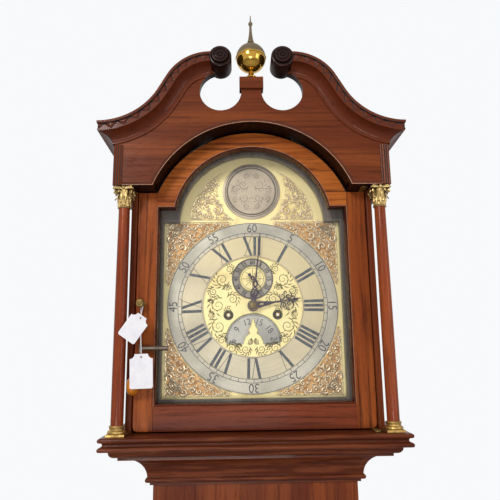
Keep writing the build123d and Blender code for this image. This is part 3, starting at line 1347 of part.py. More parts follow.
def hour_hand():
    """Pierced scrolls on a short stem, ending in a point."""
    outline = Circle(8.5) + face_of(
        Line((-4, 6), (-2.6, 26)), Line((-2.6, 26), (-1.8, HOUR_HAND - 36)),
        Line((-1.8, HOUR_HAND - 36), (1.8, HOUR_HAND - 36)), Line((1.8, HOUR_HAND - 36), (2.6, 26)),
        Line((2.6, 26), (4, 6)), Line((4, 6), (-4, 6)),
    )
    for s in (-1, 1):
        outline += Pos(s * 6.5, 48) * (Circle(6.5) - Circle(3.2))
        outline += Pos(s * 4.2, 60) * (Circle(4.8) - Circle(2.2))
    outline += face_of(Line((-2.2, 56), (0, HOUR_HAND)), Line((0, HOUR_HAND), (2.2, 56)), Line((2.2, 56), (-2.2, 56)))
    outline += Pos(0, 52) * Rectangle(2.6, 18)
    outline -= Circle(4.4)
    return wheel_at(0, CENTRE_Z, Rot(0, 0, HOUR_ANGLE) * outline, DIAL_FACE - 8.8, HAND_THICK)


def seconds_hand():
    outline = Circle(3.6) + Pos(0, 10) * Rectangle(1.2, 24) + Pos(0, -7.5) * Circle(2.6) + Pos(0, -4) * Rectangle(1.4, 8)
    outline -= Circle(1.0)
    return wheel_at(0, CENTRE_Z + SECONDS_Z, Rot(0, 0, SECONDS_ANGLE) * outline, DIAL_FACE - 4.4, 0.8)


# Weights

def drum_middle():
    return DRUM_Y + DRUM_LENGTH / 2


def pulley_place(side):
    low = SEAT_TOP - SEATBOARD
    return line_x(side) + PULLEY_R, drum_middle(), low - PULLEY_BELOW


def pulley(side):
    x, y, z = pulley_place(side)
    half = PULLEY_THICK / 2
    rim = PULLEY_R + 1.6
    wheel = turned_forward((rim, -half), (PULLEY_R - LINE_R - 0.6, 0), (rim, half))
    wheel -= Rot(90, 0, 0) * Cylinder(2 + GAP / 2, 20)
    return Pos(x, y, z) * wheel


def weight(side):
    """Cased lead weight, its stirrup and the pin that the pulley turns on."""
    x, y, z = pulley_place(side)
    top = z - STIRRUP
    height = WEIGHT_HEIGHT
    body = Pos(x, y, top - height) * turned(
        (WEIGHT_R - 2, 0), (WEIGHT_R, 2), (WEIGHT_R, height - 2), (WEIGHT_R - 2, height),
    )
    half = PULLEY_THICK / 2 + 1.2
    for s in (-1, 1):
        body += block(x - 4, x + 4, y + s * half, y + s * (half + 1.5), top + 6, z + 5)
    body += block(x - 4, x + 4, y - half - 1.5, y + half + 1.5, top + 5, top + 7)
    body += Pos(x, y, top + 3) * Cylinder(3, 8)
    return body + disc(x, z, 2, y - half - 1.5, y + half + 1.5)


def gut_falls(side):
    """The two straight runs of a line from the seatboard down to its pulley."""
    x, y, z = pulley_place(side)
    low = SEAT_TOP - SEATBOARD
    run = Cylinder(LINE_R, low - z)
    return [Pos(x + s * PULLEY_R, y, (low + z) / 2) * run for s in (-1, 1)]


def gut_turn(side):
    """Half a turn of the line, under the pulley."""
    x, y, z = pulley_place(side)
    ring = Rot(90, 0, 0) * Torus(PULLEY_R, LINE_R)
    reach = PULLEY_R + 2 * LINE_R
    return Pos(x, y, z) * (ring & block(-reach, reach, -LINE_R, LINE_R, -reach, 0))


def line_tops():
    """The lines above the seatboard: up to each drum, and a knot over each hole."""
    low = SEAT_TOP - SEATBOARD
    pieces = []
    for side in (-1, 1):
        x, y, _ = pulley_place(side)
        pieces.append(Pos(x - PULLEY_R, y, (low + WINDING_Z) / 2) * Cylinder(LINE_R, WINDING_Z - low))
        tail = Pos(x + PULLEY_R, y, (low + SEAT_TOP) / 2) * Cylinder(LINE_R, SEATBOARD)
        pieces.append(tail + Pos(x + PULLEY_R, y, SEAT_TOP + 1.5) * Cylinder(KNOT_R, 3))
    return pieces


def main():
    save("backboard", backboard())
    save("trunk", trunk_sides(), trunk_front())
    save("throat_moulding", moulding(throat_profile(), TRUNK_HALF, TRUNK_FRONT, BACK, HOOD_FLOOR))
    save("waist_moulding", moulding(waist_profile(), TRUNK_HALF, TRUNK_FRONT, BACK, TRUNK_BOTTOM))
    save("base_box", base_box())
    save("base_plinth", moulding(skirting_profile(), BASE_HALF, BASE_FRONT, BACK, 0))
    save("seatboard", seatboard())
    save("trunk_hinge_leaves", trunk_hinge_leaves())
    save("trunk_door", trunk_door())
    save("trunk_door_fittings", trunk_fittings())
    save("hood_base", hood_base())
    save("hood_sides", hood_sides())
    save("hood_mask", hood_mask())
    save("hood_tympanum", hood_tympanum())
    save("hood_friezes", hood_friezes(), hood_soffit())
    save("swan_necks", swan_necks(), scroll_bosses())
    save("column_shafts", column_shafts())
    save("hood_brasses", hood_brasses())
    save("hood_door", hood_door())
    save("door_glass", door_glass())
    save("door_brasses", door_pivots(), door_knob())
    save("key_string", *key_string())
    save("winding_crank", winding_crank())
    save("crank_grip", crank_grip())
    save("tags", tags())
    save("dial_plate", dial_plate())
    save("date_disc", date_disc())
    save("chapter_ring", chapter_ring())
    save("seconds_ring", seconds_ring())
    save("arch_boss", arch_boss())
    save("spandrels", spandrels())
    save("movement_frame", movement_frame())
    save("bell", bell())
    save("going_great_wheel", great_wheel())
    save("going_barrel", barrel(WINDING_X))
    save("centre_wheel", centre_wheel())
    save("third_wheel", third_wheel())
    save("escape_wheel", escape_wheel())
    save("anchor", anchor())
    save("pendulum", pendulum())
    save("minute_wheel", minute_wheel())
    save("hour_wheel", hour_wheel())
    save("minute_hand", minute_hand())
    save("hour_hand", hour_hand())
    save("seconds_hand", seconds_hand())
    save("strike_great_wheel", strike_great_wheel())
    save("strike_barrel", barrel(-WINDING_X))
    save("pin_wheel", pin_wheel())
    save("warning_wheel", warning_wheel())
    save("fly", fly())
    save("hammer", hammer())
    save("line_tops", line_tops())
    for side, name in ((1, "going"), (-1, "strike")):
        save(f"{name}_weight", weight(side))
        save(f"{name}_pulley", pulley(side))
        save(f"{name}_line", gut_falls(side))
        save(f"{name}_turn", gut_turn(side))


main()
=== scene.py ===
# %% [markdown]
# # A mahogany longcase clock
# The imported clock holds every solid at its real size. This lesson dresses it: wood with grain,
# brass with patina, a silvered chapter ring, carved mouldings, cast spandrels and blued hands.
# Every piece is a real mesh that rides on the body that carries it, so doors and hands still move.

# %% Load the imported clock
from math import asin, cos, degrees, hypot, pi, radians, sin
from random import Random

import bmesh
import bpy
from mathutils import Matrix, Vector


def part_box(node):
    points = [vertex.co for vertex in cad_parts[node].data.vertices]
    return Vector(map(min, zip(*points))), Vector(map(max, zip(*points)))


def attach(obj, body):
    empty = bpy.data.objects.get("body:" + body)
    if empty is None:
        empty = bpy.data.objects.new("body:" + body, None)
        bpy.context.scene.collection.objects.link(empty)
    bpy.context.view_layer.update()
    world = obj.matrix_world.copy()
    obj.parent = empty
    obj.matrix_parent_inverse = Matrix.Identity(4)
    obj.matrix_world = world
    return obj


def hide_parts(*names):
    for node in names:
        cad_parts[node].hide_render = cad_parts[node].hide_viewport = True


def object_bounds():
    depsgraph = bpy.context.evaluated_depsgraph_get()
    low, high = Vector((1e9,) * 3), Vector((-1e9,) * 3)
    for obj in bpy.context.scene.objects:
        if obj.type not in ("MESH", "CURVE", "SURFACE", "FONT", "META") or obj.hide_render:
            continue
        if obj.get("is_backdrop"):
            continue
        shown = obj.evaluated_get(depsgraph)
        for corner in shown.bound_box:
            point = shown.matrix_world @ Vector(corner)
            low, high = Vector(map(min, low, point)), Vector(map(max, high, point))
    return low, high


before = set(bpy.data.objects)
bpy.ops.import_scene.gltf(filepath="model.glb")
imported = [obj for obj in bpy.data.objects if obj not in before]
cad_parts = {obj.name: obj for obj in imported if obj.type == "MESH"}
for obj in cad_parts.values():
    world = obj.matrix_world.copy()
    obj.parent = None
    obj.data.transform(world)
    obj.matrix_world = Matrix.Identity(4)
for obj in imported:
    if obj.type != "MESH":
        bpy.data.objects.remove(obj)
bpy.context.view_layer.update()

MM = 0.001
SCENE = bpy.context.scene
SIDES = (("left", -1), ("right", 1))

# %% [markdown]
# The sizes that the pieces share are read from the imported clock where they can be. The rest are
# the maker's own sizes, in millimetres. Heights on the hood count from the dial's lower edge.

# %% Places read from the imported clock


def corners(node):
    """Lowest and highest corner of a CAD node, in millimetres."""
    low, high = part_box(node)
    return low / MM, high / MM


def depths(node):
    """Front and back of a CAD node."""
    low, high = corners(node)
    return low.y, high.y


ring_low, ring_high = corners("chapter_ring")
CHAPTER_R = (ring_high.x - ring_low.x) / 2
RING_FACE, DIAL_FACE = depths("chapter_ring")
CENTRE_Z = (ring_low.z + ring_high.z) / 2
DIAL_CENTRE = 148.0
DIAL_BOTTOM = CENTRE_Z - DIAL_CENTRE
SECONDS_UP = 46.0
DATE_DOWN = 59.0
BOSS_UP = 347.0
BEAD_PROUD = 1.5
PLINTH_STEP = 5.0
DOOR_FRONT, DOOR_BACK = depths("hood_door")
DOOR_FACE = DOOR_FRONT + BEAD_PROUD
MASK_FACE, MASK_BACK = depths("hood_mask")
FRIEZE_FRONT = depths("hood_tympanum")[0] + PLINTH_STEP
FRIEZE_BOTTOM = 332.0
FRIEZE_HALF = 219.0
FRIEZE_ARCH_R = 170.0
FRIEZE_ARCH_CENTRE = 268.0
SOFFIT = DIAL_BOTTOM + FRIEZE_BOTTOM
LEDGE = corners("hood_base")[1].z
CASE_BACK = depths("backboard")[1]
COLUMN_R = 9.3
shaft_low, shaft_high = corners("column_shafts")
COLUMN_X = (shaft_high.x - shaft_low.x) / 2 - COLUMN_R
COLUMN_Y = (shaft_low.y + shaft_high.y) / 2
print("dial centre", round(CENTRE_Z, 1), "door face", round(DOOR_FACE, 1), "frieze", round(FRIEZE_FRONT, 1))

# %% [markdown]
# The camera stands a little below the dial and looks up at the hood, as the photographer did.
# Its place and angles were worked out once from the dial's corners, the door and the mouldings.

# %% Camera at the photographer's place
EYE = Vector((-25.4, -884.7, 1634.45))
YAW = radians(1.433)
PITCH = radians(11.289)
ROLL = radians(-0.773)
FOCAL_PIXELS = 520.0
FRAME_PIXELS = 500.0
SENSOR = 36.0

forward = Vector((sin(YAW) * cos(PITCH), cos(YAW) * cos(PITCH), sin(PITCH)))
level = Vector((cos(YAW), -sin(YAW), 0))
above = level.cross(forward)
right = level * cos(ROLL) + above * sin(ROLL)
upward = above * cos(ROLL) - level * sin(ROLL)

camera = bpy.data.objects.new("Camera", bpy.data.cameras.new("Camera"))
camera.data.sensor_width = SENSOR
camera.data.lens = FOCAL_PIXELS / FRAME_PIXELS * SENSOR
camera.data.clip_start = 0.05
camera.data.clip_end = 60.0
axes = Matrix((right, upward, -forward)).transposed().to_4x4()
camera.matrix_world = Matrix.Translation(EYE * MM) @ axes
SCENE.collection.objects.link(camera)
SCENE.camera = camera
print("camera lens", round(camera.data.lens, 2), "mm")

# %% [markdown]
# Shader maths could be wired node by node, but it reads best as sums and products. `Value` wraps
# one socket and overloads the operators, so that `1 - mask` adds its Math nodes by itself.

# %% Numbers that vary over a surface


def maths(operation):
    """A method that adds one Math node."""
    def method(value, *others):
        return value.graph.node("Math", dict(enumerate((value, *others))), operation=operation)
    return method


class Value:
    """One output socket of a node tree, with arithmetic that adds Math nodes."""

    def __init__(self, graph, socket):
        self.graph = graph
        self.socket = socket

    __add__ = __radd__ = maths("ADD")
    __mul__ = __rmul__ = maths("MULTIPLY")
    __sub__ = maths("SUBTRACT")
    __truediv__ = maths("DIVIDE")
    __pow__ = maths("POWER")
    __abs__ = maths("ABSOLUTE")
    most = maths("MAXIMUM")
    wave = maths("SINE")
    bearing = maths("ARCTAN2")

    def __rsub__(self, other):
        return (self * -1) + other

    def between(self, low, high):
        """0 below the low value, 1 above the high one, and smooth on the way."""
        return self.graph.node("MapRange", {0: self, 1: low, 2: high}, interpolation_type="SMOOTHSTEP")


print("values can be added and multiplied")

# %% [markdown]
# `Graph` adds any node to a tree from its type, its settings and its sockets. `Finish` is the
# graph of one material. Its few methods are the nodes that this clock's finishes share: a place,
# a noise, a mix of two colours, the shade in hollows and a bump. None of them needs an image.

# %% Graphs and finishes


class Graph:
    """A node tree and the way in which nodes are added to it."""

    def __init__(self, tree):
        self.tree = tree

    def feed(self, socket, value):
        if isinstance(value, Value):
            self.tree.links.new(value.socket, socket)
        else:
            socket.default_value = value

    def node(self, kind, inputs, output=0, **settings):
        """Any node: its settings first, then the values or links of its sockets."""
        made = self.tree.nodes.new("ShaderNode" + kind)
        for name, value in settings.items():
            setattr(made, name, value)
        for name, value in inputs.items():
            self.feed(made.inputs[name], value)
        return Value(self, made.outputs[output])


class Finish(Graph):
    """A material under way: its Principled shader and the nodes that feed it."""

    def __init__(self, name, **sockets):
        self.material = bpy.data.materials.new(name)
        self.material.use_nodes = True
        super().__init__(self.material.node_tree)
        self.shader = self.tree.nodes["Principled BSDF"]
        self.put(**sockets)

    def put(self, **sockets):
        for name, value in sockets.items():
            self.feed(self.shader.inputs[name.replace("_", " ")], value)

    def place(self):
        """The point on the piece, in metres, in the clock's own frame."""
        return self.node("TexCoord", {}, "Object")

    def split(self, vector):
        outputs = self.node("SeparateXYZ", {0: vector}).socket.node.outputs
        return [Value(self, output) for output in outputs]

    def join(self, x, y, z):
        return self.node("CombineXYZ", {"X": x, "Y": y, "Z": z})

    def noise(self, vector, scale=1.0, detail=2.0, rough=0.5):
        sockets = {"Vector": vector, "Scale": scale, "Detail": detail, "Roughness": rough}
        return self.node("TexNoise", sockets, "Fac")

    def shade(self, distance, **settings):
        """How open the surface is within a distance in metres: 0 deep in a hollow, 1 in the open."""
        return self.node("AmbientOcclusion", {"Distance": distance}, "AO", samples=8, **settings)

    def blend(self, first, second, factor):
        """Two colours mixed by a number."""
        return self.node("Mix", {0: factor, 6: first, 7: second}, 2, data_type="RGBA")

    def bump(self, height, distance, strength=1.0):
        """Relief from a height between 0 and 1; the distance is in millimetres."""
        sockets = {"Height": height, "Distance": distance * MM, "Strength": strength}
        self.put(Normal=self.node("Bump", sockets))


def rgb(red, green, blue):
    """A colour as it looks on the screen, from 0 to 255, as the linear colour Blender wants."""
    linear = [((c / 255 + 0.055) / 1.055) ** 2.4 if c > 10 else c / 255 / 12.92 for c in (red, green, blue)]
    return (*linear, 1.0)


print("shader tools are ready")

# %% [markdown]
# ## Mahogany
# Old mahogany is a red brown with long darker streaks, short pores that run with the grain, and
# a thin polish. The grain is noise stretched along one axis, so each board names its own
# direction. The polish is a faint clear coat over a duller wood, and its pores dent the surface.

# %% Wood
GRAIN_ORDER = {"upright": (2, 0, 1), "across": (0, 2, 1), "deep": (1, 2, 0)}
# A near-black tone painted as shade on the hood's hidden faces: the soffit and the faces behind and inside the
# frieze.
PAINTED_SHADE_TONE = rgb(16, 8, 6)
PAINTED_SHADE_COVER = 0.94


def wood(name, grain, pale, ruddy, dark, gloss=0.34, coat=0.03, streaks=0.6, painted_shade=None):
    """Polished wood. Its last argument, if given, is a function of the finish that gives a mask where dark
    shade is painted in.
    """
    finish = Finish(name, Specular_IOR_Level=0.06, Coat_Weight=coat, Coat_Roughness=0.12)
    axes = finish.split(finish.place())
    along, across, deep = (axes[i] for i in GRAIN_ORDER[grain])
    drift = finish.noise(finish.join(along * 3, across * 9, deep * 9))
    wander = across + (drift - 0.5) * 0.012
    broad = finish.noise(finish.join(along * 1.6, wander * 26, deep * 22), detail=3)
    fine = finish.noise(finish.join(along * 7, wander * 190, deep * 160), detail=4, rough=0.66)
    pores = finish.noise(finish.join(along * 60, wander * 1500, deep * 1100))
    colour = finish.blend(rgb(*ruddy), rgb(*pale), broad.between(0.38, 0.66))
    colour = finish.blend(colour, rgb(*dark), fine.between(0.46, 0.72) * streaks)
    colour = finish.blend(colour, rgb(*dark), pores.between(0.58, 0.7) * 0.45)
    # Painted shade: the mask darkens the wood towards the near-black tone.
    if painted_shade:
        colour = finish.blend(colour, PAINTED_SHADE_TONE, painted_shade(finish))
    roughness = (fine - 0.5) * 0.25 + gloss + pores.between(0.55, 0.7) * 0.15
    finish.put(Base_Color=colour, Roughness=roughness)
    finish.bump((fine * 0.6) - pores.between(0.55, 0.72), 0.12, 0.6)
    return finish.material


def behind_face(finish):
    """Painted shade, near black, on every surface that lies behind the front of the frieze."""
    depth = finish.split(finish.place())[1] / MM
    return depth.between(FRIEZE_FRONT + 0.4, FRIEZE_FRONT + 1.2) * PAINTED_SHADE_COVER


def between_sides(finish):
    """Painted shade, near black, on every surface between the outer faces of the frieze."""
    across = abs(finish.split(finish.place())[0]) / MM
    return (1 - across.between(FRIEZE_HALF - 1.2, FRIEZE_HALF - 0.4)) * PAINTED_SHADE_COVER


RED = dict(pale=(136, 70, 36), ruddy=(106, 50, 28), dark=(54, 24, 15))
WARM = dict(pale=(130, 64, 32), ruddy=(100, 44, 24), dark=(46, 20, 13))
DEEP = dict(pale=(94, 42, 22), ruddy=(66, 29, 17), dark=(28, 13, 10))
MAHOGANY_UPRIGHT = wood("mahogany_upright", "upright", **WARM)
DARK_ACROSS = wood("dark_mahogany_across", "across", **DEEP)
# The frieze boards get painted shade on every face that lies back from their fronts.
FRIEZE_WOOD = wood("frieze_mahogany", "across", **RED, painted_shade=behind_face)
FRIEZE_SIDES = wood("frieze_side_mahogany", "deep", **RED, painted_shade=between_sides)
GREY_WOOD = wood("mask_wood", "upright", (128, 112, 102), (100, 88, 80), (54, 46, 41), 0.45, 0.1)
PINE = wood("pine_boards", "upright", (176, 132, 84), (146, 104, 62), (92, 60, 36), 0.62, 0.0)
print("woods:", [m.name for m in bpy.data.materials if "mahogany" in m.name])

# %% [markdown]
# Moulded pieces were cut with planes across their whole length, and their old polish is worn off
# the edges, while the hollows are painted black as shade. Two masks tell those apart: how pointed
# the mesh is, and how much open air each point sees. Streaks of noise break them up, so nothing
# looks airbrushed.

# %% Run mouldings


def moulding_finish(name, grain_dark, arris, shade_and_streak_dark):
    """Old polish: worn edges and a brown band, with painted shade in the cove and hollows, by how far each
    point stands out.
    """
    finish = Finish(name, Specular_IOR_Level=0.08, Coat_Weight=0.1, Coat_Roughness=0.08)
    place = finish.place()
    x, y, z = finish.split(place)
    streak = finish.noise(finish.join(x * 12, y * 120, z * 160), detail=5, rough=0.65)
    broad = finish.noise(place, scale=12, detail=3)
    open_air = finish.shade(0.006, only_local=True)
    edge = finish.node("NewGeometry", {}, "Pointiness")
    # Painted shade: the hollows, found by ambient occlusion, take the darkest colour.
    hollow = (open_air * 1.15 - streak * 0.3).between(0.25, 0.85)
    colour = finish.blend(rgb(*shade_and_streak_dark), rgb(*grain_dark), hollow)
    worn = edge.between(0.51, 0.56) * streak.between(0.42, 0.66) * open_air.between(0.5, 0.95)
    colour = finish.blend(colour, rgb(*arris), worn * 0.6)
    # Random dark streaks reuse the same near-black tone.
    finish.put(Base_Color=finish.blend(colour, rgb(*shade_and_streak_dark), streak.between(0.5, 0.75) * 0.45))
    finish.put(Roughness=streak * 0.22 + broad * 0.1 + 0.2)
    finish.bump(streak, 0.15, 0.7)
    return finish.material


# The last colour is the painted shade in the hollows.
LEDGE_WOOD = moulding_finish("ledge_wood", (84, 36, 18), (150, 80, 46), (12, 6, 5))
print("a finish for run mouldings")

# %% [markdown]
# ## Metals and small finishes
# Brass that is handled stays bright; brass that is not turns olive and brown in its hollows. A
# noise mask spreads that patina. Silvered brass keeps the fine circular marks of its brushing:
# noise over the distance from the centre draws them, where a plain metal would look like plastic.

# %% Metals


def metal(name, bright, dull, rough=0.3, patina=0.5, scale=60.0, metallic=0.9):
    """Brass or steel with a patina in patches."""
    finish = Finish(name, Metallic=metallic)
    cloud = finish.noise(finish.place(), scale=scale, detail=5, rough=0.6)
    speck = finish.noise(finish.place(), scale=scale * 9, detail=3)
    worn = cloud.between(0.62 - patina * 0.35, 0.75 - patina * 0.2)
    colour = finish.blend(rgb(*dull), rgb(*bright), 1 - worn * patina)
    colour = finish.blend(colour, rgb(*dull), speck.between(0.6, 0.78) * patina)
    finish.put(Base_Color=colour, Roughness=worn * 0.25 + speck * 0.08 + rough)
    finish.bump(speck * 0.5 + cloud * 0.5, 0.03)
    return finish.material


def brushed_round(name, pale, grey, up, warm=None):
    """Silvered brass brushed in circles round a point on the dial; warm tints its inside."""
    finish = Finish(name, Metallic=0.55)
    x, y, z = finish.split(finish.place())
    rise = z - (DIAL_BOTTOM + up) * MM
    radius = (x * x + rise * rise) ** 0.5
    angle = rise.bearing(x)
    rings = finish.noise(finish.join(radius * 900, angle * 1.2, 0.0), detail=3)
    cloud = finish.noise(finish.place(), scale=14, detail=4)
    patches = finish.noise(finish.join(radius * 60, angle * 6, 0.0), detail=3)
    colour = finish.blend(rgb(*grey), rgb(*pale), cloud.between(0.32, 0.68) * 0.7 + patches * 0.3)
    if warm:
        inside = 1 - (radius / MM).between(116, 124)
        side = (rise * 3 + x * 2 + cloud * 0.8).between(0.0, 0.8)
        colour = finish.blend(colour, rgb(*warm), inside * (side * 0.55 + 0.35))
    colour = finish.blend(colour, rgb(*grey), rings.between(0.5, 0.75) * 0.35)
    finish.put(Base_Color=colour, Roughness=rings * 0.16 + 0.42)
    finish.bump(rings, 0.03)
    return finish.material


AGED_BRASS = metal("aged_brass", (176, 148, 84), (70, 54, 30), 0.3, 0.75, 90)
DIAL_BRASS = metal("dial_brass", (242, 224, 160), (216, 194, 126), 0.42, 0.3, 25, 0.4)
MOVEMENT_BRASS = metal("movement_brass", (206, 168, 88), (150, 116, 60), 0.24, 0.3, 30)
LEAD_BRASS = metal("weight_brass", (196, 158, 86), (120, 92, 50), 0.3, 0.4, 20)
STEEL = metal("grey_steel", (150, 146, 140), (92, 84, 76), 0.3, 0.4, 50)
DARK_STEEL = metal("dark_steel", (104, 90, 78), (64, 54, 48), 0.4, 0.35, 60, 0.7)
SILVERED = brushed_round("silvered_ring", (200, 193, 174), (150, 144, 130), DIAL_CENTRE, (208, 190, 146))
SILVER_SMALL = brushed_round("silvered_small", (176, 166, 150), (118, 110, 98), DIAL_CENTRE + SECONDS_UP)
SILVER_BOSS = brushed_round("silvered_boss", (190, 174, 150), (136, 124, 106), BOSS_UP)
SILVER_DATE = brushed_round("silvered_date", (186, 182, 170), (130, 128, 120), DIAL_CENTRE - DATE_DOWN)
print("metals:", [m.name for m in bpy.data.materials if "brass" in m.name or "silver" in m.name])

# %% [markdown]
# Wax, card, cotton and gut are soft and dull, and two scales of noise are enough for them. The
# pane is nearly invisible: a low alpha with a smooth surface leaves only its sheen, and it costs
# less time than real refraction through a sheet that bends nothing.

# %% Wax, card, string, gut and glass


def plain(name, light, dark, rough=0.5, scale=120, depth=0.02):
    """A small surface with its own fine variation."""
    finish = Finish(name)
    cloud = finish.noise(finish.place(), scale=scale, detail=4)
    fibre = finish.noise(finish.place(), scale=scale * 12, detail=3)
    colour = finish.blend(rgb(*dark), rgb(*light), (cloud * 0.6 + fibre * 0.4).between(0.3, 0.66))
    finish.put(Base_Color=colour, Roughness=fibre * 0.15 + rough)
    finish.bump(fibre, depth)
    return finish.material


GUT = plain("gut", (190, 158, 100), (130, 98, 56), 0.45, 300, 0.05)
GLASS = Finish("door_glass", Base_Color=rgb(205, 210, 208), Roughness=0.03, Alpha=0.03, IOR=1.5).material
print(len(bpy.data.materials), "materials so far")

# %% [markdown]
# Many solids are already the right shape: boards, the dial plate, wheels, weights. They keep
# their meshes and get a finish of their own here, and the rest of the movement is plain brass.

# %% Finishes for the CAD nodes that stay
NODE_FINISH = {
    label: finish for finish, labels in (
        (PINE, "backboard seatboard"),
        (MAHOGANY_UPRIGHT, "trunk base_box trunk_door hood_sides"),
        (LEDGE_WOOD, "hood_base throat_moulding waist_moulding base_plinth"),
        (GREY_WOOD, "hood_mask"),
        (FRIEZE_WOOD, "hood_tympanum"),
        (FRIEZE_SIDES, "hood_friezes"),
        (AGED_BRASS, "trunk_hinge_leaves trunk_door_fittings door_brasses"),
        (GLASS, "door_glass"),
        (DARK_STEEL, "winding_crank"),
        (DIAL_BRASS, "dial_plate"),
        (SILVER_DATE, "date_disc"),
        (SILVERED, "chapter_ring"),
        (SILVER_SMALL, "seconds_ring"),
        (SILVER_BOSS, "arch_boss"),
        (STEEL, "anchor hammer"),
        (LEAD_BRASS, "going_weight strike_weight"),
        (GUT, "line_tops going_line strike_line going_turn strike_turn"),
    ) for label in labels.split()
}
for label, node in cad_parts.items():
    node.data.materials.clear()
    node.data.materials.append(NODE_FINISH.get(label, MOVEMENT_BRASS))
print(len(NODE_FINISH), "nodes have a finish of their own")

# %% [markdown]
# ## The room
# A pale floor, a pale sky and three soft lamps: one high on the left that makes the long
# highlights on the columns, a weaker one on the right and one low in front that opens the
# shadows under the cornice. The sky lights the clock dimly, while the camera, the metal and the
# glass see it at full strength, because a bright sky alone would wash the dark wood out.

# %% Floor, sky and lamps
WALL = rgb(248, 249, 251)
SKY_STRENGTH = 0.33
FLOOR_R = 4.8
AIM = Vector((0, 0, 1.75))
floor = Finish("pale_floor", Base_Color=rgb(228, 229, 232), Roughness=0.85, Emission_Strength=0.4)
floor.put(Emission_Color=floor.blend(rgb(0, 0, 0), WALL, floor.node("LightPath", {}, "Is Camera Ray")))
floor.bump(floor.noise(floor.place(), scale=40, detail=3), 0.2)
bpy.ops.mesh.primitive_circle_add(vertices=96, radius=FLOOR_R, fill_type="NGON", location=(0, 0, -0.0005))
disc = bpy.context.object
disc.name = "Floor"
disc.data.materials.append(floor.material)
disc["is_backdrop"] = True

room = bpy.data.worlds.new("Room")
SCENE.world = room
room.use_nodes = True
sky = Graph(room.node_tree)
camera_ray, glossy_ray, glass_ray = (
    sky.node("LightPath", {}, f"Is {kind} Ray") for kind in ("Camera", "Glossy", "Transmission")
)
lit, seen = (sky.node("Background", {"Color": WALL, "Strength": power}) for power in (SKY_STRENGTH, 1.0))
both = sky.node("MixShader", {0: camera_ray.most(glossy_ray).most(glass_ray), 1: lit, 2: seen})
sky.feed(room.node_tree.nodes["World Output"].inputs["Surface"], both)


def lamp(name, place, size, watts):
    """A rectangular lamp that looks at the hood."""
    glow = bpy.data.lights.new(name, "AREA")
    glow.shape = "RECTANGLE"
    glow.size, glow.size_y = size
    glow.energy = watts
    stand = bpy.data.objects.new(name, glow)
    stand.location = place
    stand.rotation_mode = "QUATERNION"
    stand.rotation_quaternion = (AIM - Vector(place)).to_track_quat("-Z", "Y")
    SCENE.collection.objects.link(stand)


lamp("Key", (-1.1, -2.5, 2.9), (0.6, 0.7), 40)
lamp("Fill", (2.3, -2.2, 1.9), (0.8, 1.4), 14)
lamp("Low", (-0.2, -2.6, 1.1), (1.0, 0.4), 14)
SCENE.view_settings.view_transform = "Standard"

# %% [markdown]
# ## Makers
# Four makers cover nearly every piece: a plate cut from outlines, a lathe, a grid of points, and
# strokes, which are round rods along paths. Each rides on its body, and may stand for a CAD node.
# Edges sharper than a set angle stay sharp, and all the other faces are smooth.

# %% Plates, turnings, grids and strokes
SHARP = radians(34)
DECK = Vector((0, 0, DIAL_BOTTOM))
UPRIGHT = Matrix.Rotation(pi / 2, 4, "X")


def piece(name, mesh, material, body, stands_for=()):
    made = bpy.data.objects.new(name, mesh)
    SCENE.collection.objects.link(made)
    mesh.materials.clear()
    mesh.materials.append(material)
    mesh.polygons.foreach_set("use_smooth", [True] * len(mesh.polygons))
    mesh.set_sharp_from_angle(angle=SHARP)
    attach(made, body)
    if stands_for:
        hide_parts(*stands_for)
    return made


def grid(name, rows, material, body, stands_for=(), round_columns=False):
    """A surface through rows of points, in millimetres; each row may close on itself."""
    mesh = bpy.data.meshes.new(name)
    wide = len(rows[0])
    faces = []
    for i in range(len(rows) - 1):
        for j in range(wide if round_columns else wide - 1):
            n = (j + 1) % wide
            faces.append((i * wide + j, i * wide + n, (i + 1) * wide + n, (i + 1) * wide + j))
    mesh.from_pydata([Vector(point) * MM for row in rows for point in row], [], faces)
    work = bmesh.new()
    work.from_mesh(mesh)
    bmesh.ops.remove_doubles(work, verts=work.verts, dist=1e-6)
    bmesh.ops.recalc_face_normals(work, faces=work.faces)
    work.to_mesh(mesh)
    work.free()
    return piece(name, mesh, material, body, stands_for)


def lathe(name, outline, place, axis, material, body, stands_for=(), sides=64, phase=0.0):
    """A turned piece from its outline of radius and distance along an axis: up, forward or left."""
    rows = []
    for radius, reach in outline:
        ring = []
        for i in range(sides):
            a = 2 * pi * i / sides + phase
            u, v = radius * cos(a), radius * sin(a)
            offset = {"up": (u, v, reach), "forward": (u, -reach, v), "left": (-reach, u, v)}[axis]
            ring.append(Vector(place) + Vector(offset))
        rows.append(ring)
    return grid(name, rows, material, body, stands_for, True)


def new_curve(name, lines, **settings):
    """A curve along lines of points. A fourth number at a point is its share of the thickness."""
    curve = bpy.data.curves.new(name, "CURVE")
    for setting, value in settings.items():
        setattr(curve, setting, value)
    for line in lines:
        spline = curve.splines.new("POLY")
        spline.points.add(len(line) - 1)
        for point, (x, y, z, *share) in zip(spline.points, line):
            point.co = (x * MM, y * MM, z * MM, 1)
            point.radius = share[0] if share else 1.0
    return curve


def from_curve(name, curve, matrix, material, body, stands_for=()):
    holder = bpy.data.objects.new(name, curve)
    mesh = bpy.data.meshes.new_from_object(holder)
    mesh.transform(matrix)
    bpy.data.objects.remove(holder)
    mesh.name = name
    return piece(name, mesh, material, body, stands_for)


